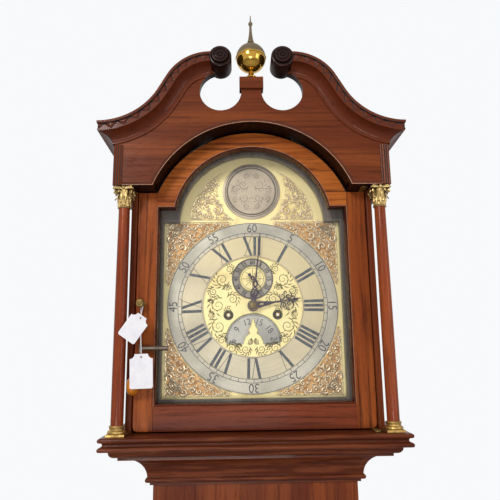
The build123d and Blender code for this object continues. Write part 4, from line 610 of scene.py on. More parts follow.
def plate(name, loops, front, back, material, body, stands_for=(), edge=0.5, place=DECK, lie=UPRIGHT):
    """A board between two depths, cut to closed outlines seen from the front; inner ones are holes."""
    curve = new_curve(
        name, [[(x, z, 0) for x, z in loop] for loop in loops], dimensions="2D", fill_mode="BOTH",
        extrude=((back - front) / 2 - edge) * MM, bevel_depth=edge * MM, bevel_resolution=1, offset=-edge * MM,
    )
    for spline in curve.splines:
        spline.use_cyclic_u = True
    middle = (front + back) / 2
    shift = Vector((0, middle, 0)) if lie is UPRIGHT else Vector((0, 0, middle))
    matrix = Matrix.Translation((Vector(place) + shift) * MM) @ lie
    return from_curve(name, curve, matrix, material, body, stands_for)


def strokes(name, lines, radius, material, body, stands_for=(), fine=2):
    """Round rods along lines of points."""
    curve = new_curve(
        name, lines, dimensions="3D", bevel_depth=radius * MM, bevel_resolution=fine, use_fill_caps=True)
    return from_curve(name, curve, Matrix(), material, body, stands_for)


print("makers are ready")


# %% [markdown]
# Most outlines on this clock are arcs, and most openings have the same broken arch. These small
# helpers work on plain pairs of numbers, so a line can be checked before it becomes a mesh.

# %% Lines and outlines


def steps(count):
    """Shares of the way from 0 to 1."""
    return [i / count for i in range(count + 1)]


def at_depth(points, y):
    """Points of the hood's front view, set at one depth of the clock."""
    return [(x, y, DIAL_BOTTOM + z) for x, z in points]


def turned(points, angle, x=0.0, z=0.0):
    """Points turned counter-clockwise by degrees, then moved; numbers after the first two stay."""
    c, s = cos(radians(angle)), sin(radians(angle))
    return [(x + u * c - v * s, z + u * s + v * c, *rest) for u, v, *rest in points]


def arc(x, z, radius, start, end, count=24):
    """Points of an arc in front view; angles in degrees, from the right and counter-clockwise."""
    turns = [radians(start + (end - start) * i / count) for i in range(count + 1)]
    return [(x + radius * cos(a), z + radius * sin(a)) for a in turns]


def arch(level, centre, radius, count):
    """The part of an arch that stands above a level, from right to left."""
    a = degrees(asin((level - centre) / radius))
    return arc(0, centre, radius, a, 180 - a, count)


def opening(half, bottom, shoulder, radius, centre, grow=0.0):
    """Outline of a square opening whose top is a break arch, grown outwards."""
    half, bottom, shoulder, radius = half + grow, bottom - grow, shoulder + grow, radius + grow
    top = arch(shoulder, centre, radius, 72)
    return [(half, bottom), (half, shoulder), *top, (-half, shoulder), (-half, bottom)]


def bead_round(name, size, section, material, body, stands_for=()):
    """A moulding round an opening: its section is a list of growth and depth."""
    rows = [at_depth(opening(*size, grow), y) for grow, y in section]
    return grid(name, rows, material, body, stands_for, True)


def smooth(points, count=6):
    """More points on a smooth line through the given ones."""
    ends = [points[0], *points, points[-1]]
    out = []
    for near in zip(ends, ends[1:], ends[2:], ends[3:]):
        for t in steps(count)[:-1]:
            spot = []
            for a, b, c, d in zip(*near):
                square, cube = 2 * a - 5 * b + 4 * c - d, 3 * b - a - 3 * c + d
                spot.append(0.5 * (2 * b + (c - a) * t + square * t * t + cube * t ** 3))
            out.append(tuple(spot))
    return out + [points[-1]]


print("outlines are ready")

# %% [markdown]
# ## Swan necks
# A joiner ran this raking moulding in one piece with its ogee and then cut the band by hand with
# a zigzag of V-grooves. Its section is a fillet, the carved flat and a deep cove. The grid below
# walks the section along the neck and presses the carving into the band, and dark rods paint the
# shade along its lines.

# %% Neck moulding
CORNICE_HALF = 243.0
CORNICE_TOP = 430.5
CORNICE_STEP = 24.0
RETURN_SHORT = 12.0
NECK_LOWER_R = 108.0
NECK_UPPER_R = 80.8
NECK_STRAIGHT = 28.4
NECK_SLOPE = radians(60.0)
NECK_TALL = 33
LOBE_R = 34.0
LOBE_Z = 492.0
BOSS_X = 50.5
BOSS_Z = 541.0
BOSS_R = 18.5
BAND_OUT = 22.5
BAND_TOP = 4.5
BAND_LOW = 16.5
BAND_TALL = BAND_LOW - BAND_TOP
COVE_DEEP = 20.0
COVE_TALL = 14.5
TOOTH = 19.5
GROOVE_DEPTH = 2.6
GROOVE_LINE = 0.85
STEPS = 440

# The last colour is the painted shade in the cove and hollows.
CORNICE_WOOD = moulding_finish("cornice_wood", (98, 44, 24), (138, 74, 42), (13, 6, 5))
# Near-black rods and plates that paint the shade in grooves, cuts and gaps.
GROOVE_SHADE_PAINT = plain("painted_groove_shade", (20, 11, 9), (12, 7, 6), 0.6, 300, 0.05)
quarter = [pi / 2 * i / 12 for i in range(1, 13)]
cove = [(BAND_OUT - COVE_DEEP * sin(a) ** 1.2, BAND_LOW + COVE_TALL * (1 - cos(a))) for a in quarter]
band = [(BAND_OUT, BAND_TOP + BAND_TALL * i / 22) for i in range(23)]
fillet = [(0, 0), (22.6, 0), (23.6, 0.4), (24, 1.4), (24, 3.4), (23.6, 4.2)]
SECTION = [*fillet, *band, *cove, (2.5, NECK_TALL), (0, NECK_TALL)]


def zigzag_depth(along):
    """How far down the section the carver's zigzag lies at a distance along the neck."""
    return BAND_TOP + BAND_TALL * (0.16 + 0.7 * abs(2 * (along / TOOTH % 1) - 1))


def groove(along, down):
    """Depth of the carving at a distance along the neck and down its section."""
    if not BAND_TOP < down < BAND_LOW:
        return 0.0
    away = (down - zigzag_depth(along)) / BAND_TALL
    wall = min(1.0, max(0.0, 0.5 - away * 14))
    return wall * GROOVE_DEPTH * (0.55 + 0.45 * max(0.0, 1 + away / 0.5))


def swing(centre, radius, angle):
    """A point on a circle, its angle counted from straight below the centre."""
    return centre[0] + radius * sin(angle), centre[1] - radius * cos(angle)


def climb(start, reach):
    """A point further up the straight part of the neck."""
    return start[0] + reach * cos(NECK_SLOPE), start[1] + reach * sin(NECK_SLOPE)


LOW_ARC = NECK_LOWER_R * NECK_SLOPE
HIGH_ARC = NECK_UPPER_R * NECK_SLOPE
RAKE_LENGTH = LOW_ARC + NECK_STRAIGHT + HIGH_ARC
RETURN_LENGTH = CASE_BACK - RETURN_SHORT - FRIEZE_FRONT
LOW_CENTRE = (-CORNICE_HALF, CORNICE_TOP + NECK_LOWER_R)
BEND = swing(LOW_CENTRE, NECK_LOWER_R, NECK_SLOPE)
HIGH_CENTRE = swing(climb(BEND, NECK_STRAIGHT), NECK_UPPER_R, NECK_SLOPE)


def rake_point(share, out, down):
    """A point of the left neck: its share of the way from the corner to the boss."""
    along = share * RAKE_LENGTH
    if along < LOW_ARC:
        first = asin((CORNICE_STEP - out) / (NECK_LOWER_R + down))
        x, z = swing(LOW_CENTRE, NECK_LOWER_R + down, first + (NECK_SLOPE - first) * along / LOW_ARC)
    elif along < LOW_ARC + NECK_STRAIGHT:
        x, z = swing(climb(BEND, along - LOW_ARC), down, NECK_SLOPE)
    else:
        a = NECK_SLOPE * (1 - (along - LOW_ARC - NECK_STRAIGHT) / HIGH_ARC)
        x, z = swing(HIGH_CENTRE, down - NECK_UPPER_R, a)
    away = hypot(x + BOSS_X, z - LOBE_Z)
    if away < LOBE_R:
        x, z = -BOSS_X + (x + BOSS_X) * LOBE_R / away, LOBE_Z + (z - LOBE_Z) * LOBE_R / away
    return Vector((x, FRIEZE_FRONT - out + groove(along, down), DIAL_BOTTOM + z))


def return_point(share, out, down):
    """A point of the left return, from the front corner back along the side."""
    carved = out - groove(share * RETURN_LENGTH, down)
    y = FRIEZE_FRONT - out + share * (RETURN_LENGTH + out)
    return Vector((-FRIEZE_HALF - carved, y, DIAL_BOTTOM + CORNICE_TOP - down))


cuts = []
for hand, side in SIDES:
    flip = Vector((-side, 1, 1))
    for part, at, length in (("rake", rake_point, RAKE_LENGTH), ("return", return_point, RETURN_LENGTH)):
        rows = [[at(t, *spot) * flip for spot in SECTION] for t in steps(STEPS)]
        neck = grid(f"swan_{part}_{hand}", rows, CORNICE_WOOD, "hood", ["swan_necks"], True)
        places = [i * TOOTH / 12 for i in range(int(length / TOOTH * 2) * 6)]
        for depth in (zigzag_depth, lambda along: BAND_TOP - 0.3):
            cuts.append([tuple(at(along / length, BAND_OUT + 0.4, depth(along)) * flip) for along in places])
# Dark rods along the zigzag and under the fillet paint the shade in the cut lines.
strokes("neck_cut_shade", cuts, GROOVE_LINE, GROOVE_SHADE_PAINT, "hood", ["swan_necks"])
print("carved necks with", len(neck.data.polygons), "faces each")

# %% [markdown]
# Each neck ends in a turned boss, a small disc of rings that the joiner made on a lathe. A lathe
# of points from one outline gives the same rings, and its edges stay sharp at any distance.

# %% Scroll bosses
# The last colour is the painted shade in the rings' hollows.
BOSS_WOOD = moulding_finish("boss_wood", (34, 17, 13), (70, 38, 26), (8, 5, 5))
ring_steps = [
    (0, -40), (BOSS_R, -40), (BOSS_R, -2.4), (BOSS_R - 0.7, -0.8), (BOSS_R - 2, 0), (14.6, 0.2), (14.0, -1.0),
    (13.2, -0.2), (13.2, 3.6), (12.6, 4.7), (11.4, 5), (9.8, 4.9), (9.2, 3.8), (8.4, 3.7), (7.9, 4.7), (6.6, 5),
    (4.4, 4.8), (3.8, 3.7), (3.0, 3.6), (2.4, 4.6), (0, 5),
]
for hand, side in SIDES:
    place = (side * BOSS_X, FRIEZE_FRONT - CORNICE_STEP, DIAL_BOTTOM + BOSS_Z)
    lathe(f"scroll_boss_{hand}", ring_steps, place, "forward", BOSS_WOOD, "hood", ["swan_necks"], 96)
print("two ringed bosses")

# %% [markdown]
# ## Frieze
# A bead runs along the lower edge of the frieze and round its arch, between an arris that cloths
# have worn pale, lightened further as a painted highlight, and a groove whose shade is painted as a
# dark rod. The corners carry short reeded strips on a dark plate that paints the shade in their
# gaps. Lines this thin are rods of their own, since a pattern in the board's finish would blur at
# the arch.

# %% Beads and reeded strips
# A pale line for worn arrises, lightened beyond the wear as a painted highlight.
WORN_HIGHLIGHT_LINE = plain("worn_arris_highlight", (204, 168, 140), (150, 98, 70), 0.4, 300, 0.05)
BEAD_SHORT = 9
for name, away, radius, material in (
    ("frieze_arris", 0.7, 0.5, WORN_HIGHLIGHT_LINE),
    ("frieze_bead", 2.3, 1.2, FRIEZE_WOOD),
    ("frieze_groove_shade", 4.1, 0.55, GROOVE_SHADE_PAINT),
):
    level = FRIEZE_BOTTOM + away
    end = FRIEZE_HALF - BEAD_SHORT
    route = [(end, level), *arch(level, FRIEZE_ARCH_CENTRE, FRIEZE_ARCH_R + away, 90), (-end, level)]
    strokes(name, [at_depth(route, FRIEZE_FRONT + 0.2)], radius, material, "hood")

REED = 1.45
REED_PITCH = 3.7
STRIP_WIDE = 14
STRIP_DEEP = 13.5
STRIP_TOP = CORNICE_TOP - NECK_TALL + 1
strip_ends = [DIAL_BOTTOM + z for z in (FRIEZE_BOTTOM, STRIP_TOP)]
reeds = []
for hand, side in SIDES:
    for i in range(4):
        across = side * (FRIEZE_HALF - 1.3 - REED_PITCH * i)
        reeds.append([(across, FRIEZE_FRONT + 0.1, z) for z in strip_ends])
        deep = FRIEZE_FRONT + 1.3 + REED_PITCH * i
        reeds.append([(side * (FRIEZE_HALF - 0.1), deep, z) for z in strip_ends])
    inner, outer = side * (FRIEZE_HALF - STRIP_WIDE), side * (FRIEZE_HALF + 0.2)
    ground = [(inner, FRIEZE_BOTTOM), (outer, FRIEZE_BOTTOM), (outer, STRIP_TOP), (inner, STRIP_TOP)]
    front, back = FRIEZE_FRONT - 0.25, FRIEZE_FRONT + STRIP_DEEP
    # The dark plate behind the reeds paints the shade in their gaps.
    plate(f"reed_gap_shade_{hand}", [ground], front, back, GROOVE_SHADE_PAINT, "hood", edge=0.05)
strokes("reeded_corners", reeds, REED, MAHOGANY_UPRIGHT, "hood")
print(len(reeds), "reeds on the corners")

# %% [markdown]
# ## Hood door
# The door is framed: two upright stiles run its full height, the bottom rail and the arched head
# fit between them, and a thin bead lies round the glass. Each board has the grain of its own
# length, which is what tells a framed door from one sawn out of a sheet.

# %% Door frame
DOOR_HALF = 185.0
DOOR_LOW = -43.0
DOOR_HIGH = 330.5
DOOR_GAP = 3.5
BEAD = 3.0
DOOR_OPENING = (151.5, -3.5, 304.5, 127.5, 280.0)
JOINT = DOOR_OPENING[0] + BEAD + 0.4
CORNER = 7.0
STILE_WOOD, RAIL_WOOD, HEAD_WOOD = (
    wood(f"{name}_mahogany", grain, *tones, streaks=0.85) for name, grain, *tones in (
        ("stile", "upright", (168, 88, 38), (132, 62, 27), (46, 18, 10)),
        ("rail", "across", (128, 60, 34), (96, 42, 26), (42, 18, 14)),
        ("head", "across", (182, 100, 42), (144, 70, 29), (58, 24, 12)),
    )
)
for hand, side in SIDES:
    stile = [(side * x, z) for x, z in (
        (JOINT, DOOR_LOW), (JOINT, DOOR_HIGH), (DOOR_HALF, DOOR_HIGH), (DOOR_HALF, DOOR_LOW + CORNER),
        (DOOR_HALF - 2, DOOR_LOW + 2), (DOOR_HALF - CORNER, DOOR_LOW),
    )]
    plate(f"door_stile_{hand}", [stile], DOOR_FACE, DOOR_BACK, STILE_WOOD, "hood_door", ["hood_door"])
rail_top = DOOR_OPENING[1] - BEAD
rail = [(-JOINT, DOOR_LOW), (-JOINT, rail_top), (JOINT, rail_top), (JOINT, DOOR_LOW)]
plate("door_rail", [rail], DOOR_FACE, DOOR_BACK, RAIL_WOOD, "hood_door", ["hood_door"], 0.3)
inner = opening(*DOOR_OPENING, BEAD)[1:-1]
shoulder = inner[0][1]
crown = reversed(arch(DOOR_HIGH, FRIEZE_ARCH_CENTRE, FRIEZE_ARCH_R - DOOR_GAP, 72))
head = [(JOINT, shoulder), *inner[1:-1], (-JOINT, shoulder), (-JOINT, DOOR_HIGH), *crown, (JOINT, DOOR_HIGH)]
plate("door_head", [head], DOOR_FACE, DOOR_BACK, HEAD_WOOD, "hood_door", ["hood_door"], 0.3)
bead_round("door_bead", DOOR_OPENING, (
    (0, DOOR_BACK - 5), (0, DOOR_FACE - 0.6), (0.8, DOOR_FACE - 1.5), (2.0, DOOR_FACE - 1.5),
    (BEAD, DOOR_FACE - 0.2), (BEAD, DOOR_FACE + 4),
), DARK_ACROSS, "hood_door", ["hood_door"])
# The bead's pale arris line is wear with a painted highlight on it.
line = at_depth(opening(*DOOR_OPENING, BEAD - 0.1), DOOR_FACE - 0.3)
strokes("door_bead_arris", [line], 0.42, WORN_HIGHLIGHT_LINE, "hood_door", ["hood_door"])
print("door: two stiles, rail, head and bead")

# %% [markdown]
# ## Mask
# Inside the door a thin frame of paler, greyer wood covers the edge of the dial. Its opening has
# a small bevel, mitred at the corners, that catches the light. The same maker as for the door's
# bead walks a short section round the opening.

# %% Mask bevel
MASK_EDGE = wood("mask_bevel_wood", "upright", (128, 116, 104), (98, 88, 78), (56, 48, 42), 0.4, 0.2, 0.5)
MASK_ARCH_R = 123.0
MASK_ARCH_CENTRE = 285.5
MASK_OPENING = (149.0, 0.0, 290.0, MASK_ARCH_R, MASK_ARCH_CENTRE)
bead_round("mask_bevel", MASK_OPENING, (
    (-0.3, MASK_BACK - 1), (-0.3, MASK_FACE - 0.2), (0.9, MASK_FACE - 1.2), (3.6, MASK_FACE - 1.4),
    (4.6, MASK_FACE + 0.2),
), MASK_EDGE, "hood")
print("mask bevel is on")

# %% [markdown]
# ## Columns
# Turned mahogany shafts swell a little below the middle. They stand in bell-shaped brass feet and
# end under Corinthian capitals. Shafts and feet come off a lathe, like the real ones, and a lathe
# with four sides makes the square plinths.

# %% Shafts and feet
COLUMN_WOOD = wood("column_mahogany", "upright", (158, 76, 36), (124, 50, 25), (58, 20, 12), 0.24, 0.16)
FOOT_BRASS = metal("column_foot_brass", (196, 160, 92), (104, 78, 42), 0.24, 0.6, 80)
COLUMN_TOP_R = 8.6
COLUMN_BASE = 15.5
COLUMN_SWELL = 0.25
CAPITAL = 34.5
low = LEDGE + COLUMN_BASE
tall = SOFFIT - CAPITAL - low
swell = [
    (COLUMN_R + COLUMN_SWELL * sin(pi * t) - (COLUMN_R - COLUMN_TOP_R) * t ** 1.6, tall * t) for t in steps(24)
]
foot = [
    (0, 3.5), (13.0, 4), (13.6, 5.0), (13.7, 6.4), (13.0, 7.8), (11.6, 8.6), (10.9, 9.4), (10.7, 11),
    (11.3, 12.6), (11.5, 14), (10.9, 15.2), (9.4, 15.6), (0, 15.6),
]
slab = [(0, 0), (18.6, 0), (19.1, 0.5), (19.1, 3.4), (18.4, 4), (0, 4)]
for hand, side in SIDES:
    spot = (side * COLUMN_X, COLUMN_Y)
    shaft = [(0, 0), *swell, (0, tall)]
    lathe(f"column_{hand}", shaft, (*spot, low), "up", COLUMN_WOOD, "hood", ["column_shafts"], 72)
    for part, outline, sides, phase in (("foot", foot, 64, 0.0), ("plinth", slab, 4, pi / 4)):
        label = f"column_{part}_{hand}"
        lathe(label, outline, (*spot, LEDGE), "up", FOOT_BRASS, "hood", ["hood_brasses"], sides, phase)
print("columns", round(tall), "mm tall")

# %% [markdown]
# The capitals are castings that were never polished in their depths, so a gilt edge stands on a
# black ground; that black is partly patina and partly painted shade. Ambient occlusion finds those
# depths. A leaf could be sculpted, but a grid bent by a few curves makes all sixteen alike and
# crisp: each climbs the bell, spreads in lobes and curls.

# %% Cast brass


def cast_metal(name, metallic, reach, grain, deep, top, span, spoil, rough, dent):
    """Cast brass with a grainy skin: bright on its open tops and dark in its depths, where the dark is partly
    patina and partly painted shade.
    """
    finish = Finish(name, Metallic=metallic)
    open_air = finish.shade(reach)
    speck = finish.noise(finish.place(), scale=grain, detail=4)
    colour = finish.blend(rgb(*deep), rgb(*top), (open_air * 1.2 - speck * spoil).between(*span))
    finish.put(Base_Color=colour, Roughness=speck * 0.3 + rough)
    finish.bump(speck, dent)
    return finish.material


# Near-black depths on the capitals: partly patina, partly painted shade.
CASTING = cast_metal(
    "cast_capital_brass", 0.9, 0.005, 420, (24, 18, 12), (178, 150, 96), (0.2, 0.85), 0.5, 0.2, 0.2)
print("cast brass for the capitals")

# %% Corinthian capitals
BELL_TOP = CAPITAL - 5.5
BELL = [(0, 0), (10.2, 0), (10.8, 1.2), (10.2, 2.5), (9.2, 3.5), (9.4, 16), (12.6, BELL_TOP), (0, BELL_TOP)]
LEAF_ROWS = ((2.6, 14.5, 4.6, 7.6, 0.0), (8.6, 19.0, 6.0, 7.2, 0.5))
CAP_HALF = 16.2
CAP_TIP = 2.6


def leaf_rows(radius, base, height, reach, width, turn):
    """One acanthus leaf: it climbs the bell, spreads in lobes and curls over at its tip."""
    rows = []
    for v in steps(20):
        if v < 0.7:
            out, up = 0.3 + 1.4 * v, height * v / 0.7 * 0.84
        else:
            a = (v - 0.7) / 0.3 * pi * 1.15
            out, up = 1.3 + reach / 2 * (1 - cos(a)), height * (0.84 + 0.16 * sin(a))
        spread = width * (0.62 + 0.38 * sin(pi * min(1.0, v * 1.15))) * (1 - 0.62 * v ** 4)
        lobes = 1 - 0.2 * abs(sin(4.5 * pi * v))
        row = []
        for u in [(j - 5) / 5 for j in range(11)]:
            side = spread * lobes * u / 2
            rib = 0.55 * (1 - abs(u)) - 0.5 * u * u + 0.3 * cos(u * 3 * pi) * (1 - v)
            a = turn + side / radius
            r = radius + out + rib
            row.append((r * sin(a), -r * cos(a), base + up))
        rows.append(row)
    return rows


def capital(name, x):
    place = Vector((x, COLUMN_Y, SOFFIT - CAPITAL))
    brass = (CASTING, "hood", ["hood_brasses"])
    lathe(name + "_bell", BELL, place, "up", *brass)
    for row, (base, height, reach, width, shift) in enumerate(LEAF_ROWS):
        for i in range(8):
            radius = COLUMN_TOP_R + 0.8 + row * 0.8
            rows = leaf_rows(radius, base, height, reach, width, (i + shift) * pi / 4)
            grid(f"{name}_leaf_{row}{i}", [[place + Vector(p) for p in line] for line in rows], *brass)

    def spot(way, out, up):
        return place + way * out + Vector((0, 0, up))

    curls = []
    for k in range(4):
        way = Vector((sin(pi / 4 + k * pi / 2), -cos(pi / 4 + k * pi / 2), 0))
        line = [(*spot(way, 11, CAPITAL - 17), 0.6)]
        for t in steps(30):
            a = pi * (0.5 - 3.0 * t)
            r = 4.0 * (1 - 0.78 * t)
            line.append((*spot(way, 15.2 + r * cos(a), CAPITAL - 10 + r * sin(a)), 1 - 0.4 * t))
        curls.append(line)
    for k in range(4):
        way = Vector((sin(k * pi / 2), -cos(k * pi / 2), 0))
        across = Vector((-way.y, way.x, 0))
        flower = spot(way, 14.2, CAPITAL - 3)
        for a in [i * pi / 3 for i in range(6)]:
            petal = flower + across * 2.6 * cos(a) + Vector((0, 0, 2.2 * sin(a)))
            curls.append([(*flower, 1.0), (*petal, 0.7)])
    strokes(name + "_scrolls", curls, 1.35, *brass)
    hollow = [(CAP_HALF - 2.6 * cos(pi * s / 2), CAP_HALF * s * 0.82) for s in [i / 8 - 1 for i in range(17)]]
    side = [(CAP_HALF, CAP_TIP - CAP_HALF), *hollow, (CAP_HALF, CAP_HALF - CAP_TIP)]
    outline = [point for k in range(4) for point in turned(side, 90 * k)]
    inside = [(u * 0.93, v * 0.93) for u, v in outline]
    for part, loop, low, high, edge in (("_abacus", outline, 5.6, 2.6, 0.8), ("_cap", inside, 3.0, 0.1, 0.5)):
        middle = Vector((x, COLUMN_Y, 0))
        plate(name + part, [loop], SOFFIT - low, SOFFIT - high, *brass, edge, middle, Matrix())


for hand, side in SIDES:
    capital(f"capital_{hand}", side * COLUMN_X)
print("capitals: 16 leaves and 4 scrolls each")

# %% [markdown]
# ## Finial
# The brass ball was raised in two halves, soldered at a seam and polished; its top has dulled
# under dust while the lower half still shines. One outline turns the collar, the ball with its
# seam and the spire, and the dust is a mask of height with a noisy edge.

# %% Ball and spire
BALL_R = 24.8
NECK = 12.0
FINIAL_HEIGHT = 116.0
PLINTH_TOP = DIAL_BOTTOM + 515.0
FINIAL_Y = FRIEZE_FRONT - PLINTH_STEP + 7
ball = NECK + BALL_R
top = ball + BALL_R
seam = PLINTH_TOP + ball
globe = Finish("finial_brass")
height = globe.split(globe.place())[2] / MM
dust = (height + globe.noise(globe.place(), scale=50, detail=4) * 6).between(seam + 2, seam + 7)
spots = globe.noise(globe.place(), scale=260, detail=3).between(0.55, 0.75)
shine = globe.blend(rgb(196, 152, 66), rgb(98, 84, 62), dust * 0.95)
globe.put(Base_Color=globe.blend(shine, rgb(86, 66, 40), spots * 0.35), Metallic=0.95 - dust * 0.6)
globe.put(Roughness=dust * 0.36 + spots * 0.1 + 0.12)
globe.bump(spots, 0.04)
lower = [(BALL_R * sin(a), ball - BALL_R * cos(a)) for a in [radians(12 + 75 * i / 18) for i in range(19)]]
upper = [(BALL_R * sin(a), ball + BALL_R * cos(a)) for a in [radians(87 - 78 * i / 18) for i in range(19)]]
spire = smooth([(r, top + up) for r, up in (
    (4.4, -0.3), (3.4, 1.6), (5.2, 3.6), (5.5, 5.2), (5.0, 6.8), (3.8, 12), (2.4, 24), (1.9, 35),
)], 4)
knop = smooth([
    *((r, top + up) for r, up in ((1.9, 35), (3.3, 37.4), (3.6, 39.5), (2.8, 41.5), (1.4, 43))),
    (0.7, FINIAL_HEIGHT),
], 4)
outline = [
    (0, 0), (9, 0), (9.4, 1), (8.6, 2.4), (6, 4), (4.6, 7), (4.4, NECK), *lower,
    (BALL_R + 0.7, ball - 0.9), (BALL_R + 0.7, ball + 0.9), *upper, *spire, *knop, (0, FINIAL_HEIGHT),
]
lathe("finial", outline, (0, FINIAL_Y, PLINTH_TOP), "up", globe.material, "hood", ["hood_brasses"], 96)
print("finial stands", round(FINIAL_HEIGHT), "mm tall")

# %% [markdown]
# ## Tags, crank and strings
# Two blank price cards and the clock's winding crank hang from the door knob on cotton string.
# The cards are plates, turned the way they hang. The crank's grip is a small knob of fruitwood,
# turned and then stretched upwards into an egg.

# %% Cards and grip
CARD = plain("white_card", (240, 238, 240), (226, 222, 226), 0.75, 60)
AMBER = wood("amber_fruitwood", "deep", (226, 150, 44), (196, 112, 26), (128, 62, 14), 0.18, 0.7, 0.4)
TAG_Y = -97.0
NOTCH = 7
CARD_HOLE = 1.5
CRANK = Vector((-172.0, -78.0, DIAL_BOTTOM + 80.0))
GRIP = CRANK + Vector((-3, 0, -49.4))
GRIP_STRETCH = 1.25
GRIP_DROP = 5.6


def card(name, x, z, wide, high, angle):
    """A card with scooped upper corners and a punched hole, turned about its middle."""
    half, tall = wide / 2, high / 2
    edge = arc(3 - half, 3 - tall, 3, 180, 270, 5) + arc(half - 3, 3 - tall, 3, 270, 360, 5)
    edge += arc(half, tall, NOTCH, 270, 180, 8) + arc(-half, tall, NOTCH, 0, -90, 8)
    hole = arc(0, tall - 4.5, CARD_HOLE, 0, 360, 20)[:-1]
    loops = [turned(loop, angle, x, z) for loop in (edge, hole)]
    plate(name, loops, TAG_Y - 0.5, TAG_Y, CARD, "key", ["tags"], 0.08)


card("tag_upper", -180.5, 111.0, 30, 42, -35)
card("tag_lower", -168.0, 47.0, 34, 50, 1.5)
knob = smooth([(0, 0), (5.4, 0.2), (8.6, 2.2), (10.8, 6.2), (11, 9.5), (9.8, 13.6), (6.6, 16.4), (0, 17)], 5)
egg = lathe("crank_knob", knob, GRIP, "left", AMBER, "key", ["crank_grip"], 48)
for vertex in egg.data.vertices:
    vertex.co.z = GRIP.z * MM + (vertex.co.z - GRIP.z * MM) * GRIP_STRETCH - GRIP_DROP * MM
print("cards and grip hang at", round(CRANK.x), round(CRANK.z))

# %% [markdown]
# The strings are thin cotton that hangs slack from the knob. A smooth curve with a round bevel is
# the simplest cord in Blender, and it keeps a centre line that can be measured.

# %% Strings
COTTON = plain("white_cotton", (232, 230, 232), (190, 186, 190), 0.9, 400, 0.05)
STRING = 1.4
LOOP_R = 3.6
KNOB_Z = DIAL_BOTTOM + 149


def string(name, points):
    """A limp string through points whose heights are measured down from the knob."""
    spots = [Vector((x, y, KNOB_Z - down)) * MM for x, y, down in points]
    curve = new_curve(
        name, [], dimensions="3D", bevel_depth=STRING / 2 * MM, bevel_resolution=3, use_fill_caps=True)
    spline = curve.splines.new("NURBS")
    spline.points.add(len(spots) - 1)
    for point, spot in zip(spline.points, spots):
        point.co = (*spot, 1)
    spline.order_u = 3
    spline.use_endpoint_u = True
    made = bpy.data.objects.new(name, curve)
    SCENE.collection.objects.link(made)
    curve.materials.append(COTTON)
    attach(made, "key")
    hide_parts("key_string")


string("crank_string", [
    (-176, -70, 4.3), (-175.2, -72.5, 22), (-174.2, -75.8, 45), (-173.5, -78, 61.3),
])
string("tag_string", [
    (-171.7, -70, 0), (-171.6, -87, 13), (-171.0, -96.0, 25.5), (-170.2, -96.4, 52), (-168.5, -96.2, 81.5),
])
loop = [(x, -70.0, z) for x, z in arc(-176, KNOB_Z, LOOP_R, 0, 360)]
strokes("string_loop", [loop], STRING / 2, COTTON, "key", ["key_string"])
print("two strings and their loop")

# %% [markdown]
# ## Chapter ring
# The hours are cut as radial Roman figures, broad strokes hatched and thin strokes plain, filled
# with wax. Outside them run the minute track and the five-minute figures. The strokes below are
# laid out flat, then bent round the ring, so every figure stands with its head outwards.

# %% Hour figures
INK = plain("wax_filled_engraving", (74, 74, 76), (46, 46, 50))
HOURS = ["XII", "I", "II", "III", "IIII", "V", "VI", "VII", "VIII", "IX", "X", "XI"]
HOUR_LOW = 85.4
HOUR_TALL = 32.0
BROAD = 4.6
THIN = 0.9
HATCH_PITCH = 0.0011
FIGURES = {
    "I": (7.0, [(0, 0, BROAD)]),
    "V": (16.0, [(-5.4, 0, BROAD), (5.8, 0.8, THIN)]),
    "X": (15.5, [(-5.3, 5.3, BROAD), (5.6, -5.6, THIN)]),
}
hatch = Finish("hatched_wax")
x, y, z = hatch.split(hatch.place())
lines = ((x + z * 0.6) * (2 * pi / HATCH_PITCH)).wave() * 0.5 + 0.5
cloud = hatch.noise(hatch.place(), scale=200).between(0.3, 0.6)
wax = hatch.blend(rgb(58, 62, 70), rgb(112, 114, 112), lines * cloud)
hatch.put(Base_Color=wax, Roughness=lines * 0.2 + 0.45)
hatch.bump(lines, 0.03)


def on_dial(angle, u, v, y, centre=DIAL_CENTRE):
    """A point v millimetres out from a centre of the dial at a clock angle, and u to its right."""
    a = radians(angle)
    return Vector((v * sin(a) + u * cos(a), y, DIAL_BOTTOM + centre + v * cos(a) - u * sin(a)))


def figure_bars(figure):
    """Head, foot and width of each stroke of a Roman figure, side by side about its middle."""
    left = -sum(FIGURES[letter][0] for letter in figure) / 2
    bars = []
    for letter in figure:
        wide, strokes_of = FIGURES[letter]
        mid = left + wide / 2
        bars += [(mid + head, mid + foot, thick) for head, foot, thick in strokes_of]
        left += wide
    return bars


points = []
serifs = []
for hour, figure in enumerate(HOURS):
    bars = figure_bars(figure)
    for head, foot, wide in bars:
        half = wide / 2
        for u, v in ((foot - half, 0), (foot + half, 0), (head + half, HOUR_TALL), (head - half, HOUR_TALL)):
            points.append(on_dial(hour * 30, u * (1 + v / 300), HOUR_LOW + v, RING_FACE - 0.08) * MM)
    for v, index in ((0, 1), (HOUR_TALL, 0)):
        ends = [bar[index] for bar in bars]
        reach = (min(ends) - 2.6, max(ends) + 2.6)
        serifs.append([on_dial(hour * 30, u, HOUR_LOW + v, RING_FACE) for u in reach])
mesh = bpy.data.meshes.new("hour_figures")
mesh.from_pydata(points, [], [tuple(range(i, i + 4)) for i in range(0, len(points), 4)])
piece("hour_figures", mesh, hatch.material, "case")
strokes("hour_serifs", serifs, 0.28, INK, "case", fine=1)
print(len(mesh.polygons), "strokes in twelve figures")

# %% [markdown]
# The minute track is two circles with sixty short lines between them. A groove cut into the ring
# would be a hair deep, so thin rods that lie on its face look the same and keep the mesh light.

# %% Minute track and inner line


def circle(radius, y, centre=DIAL_CENTRE, count=144):
    return [on_dial(360 * i / count, 0, radius, y, centre) for i in range(count + 1)]


def ticks(count, radii, y, centre=DIAL_CENTRE, shift=0.0):
    """Short radial lines, evenly spaced round a centre."""
    return [[on_dial(360 * (i + shift) / count, 0, r, y, centre) for r in radii] for i in range(count)]


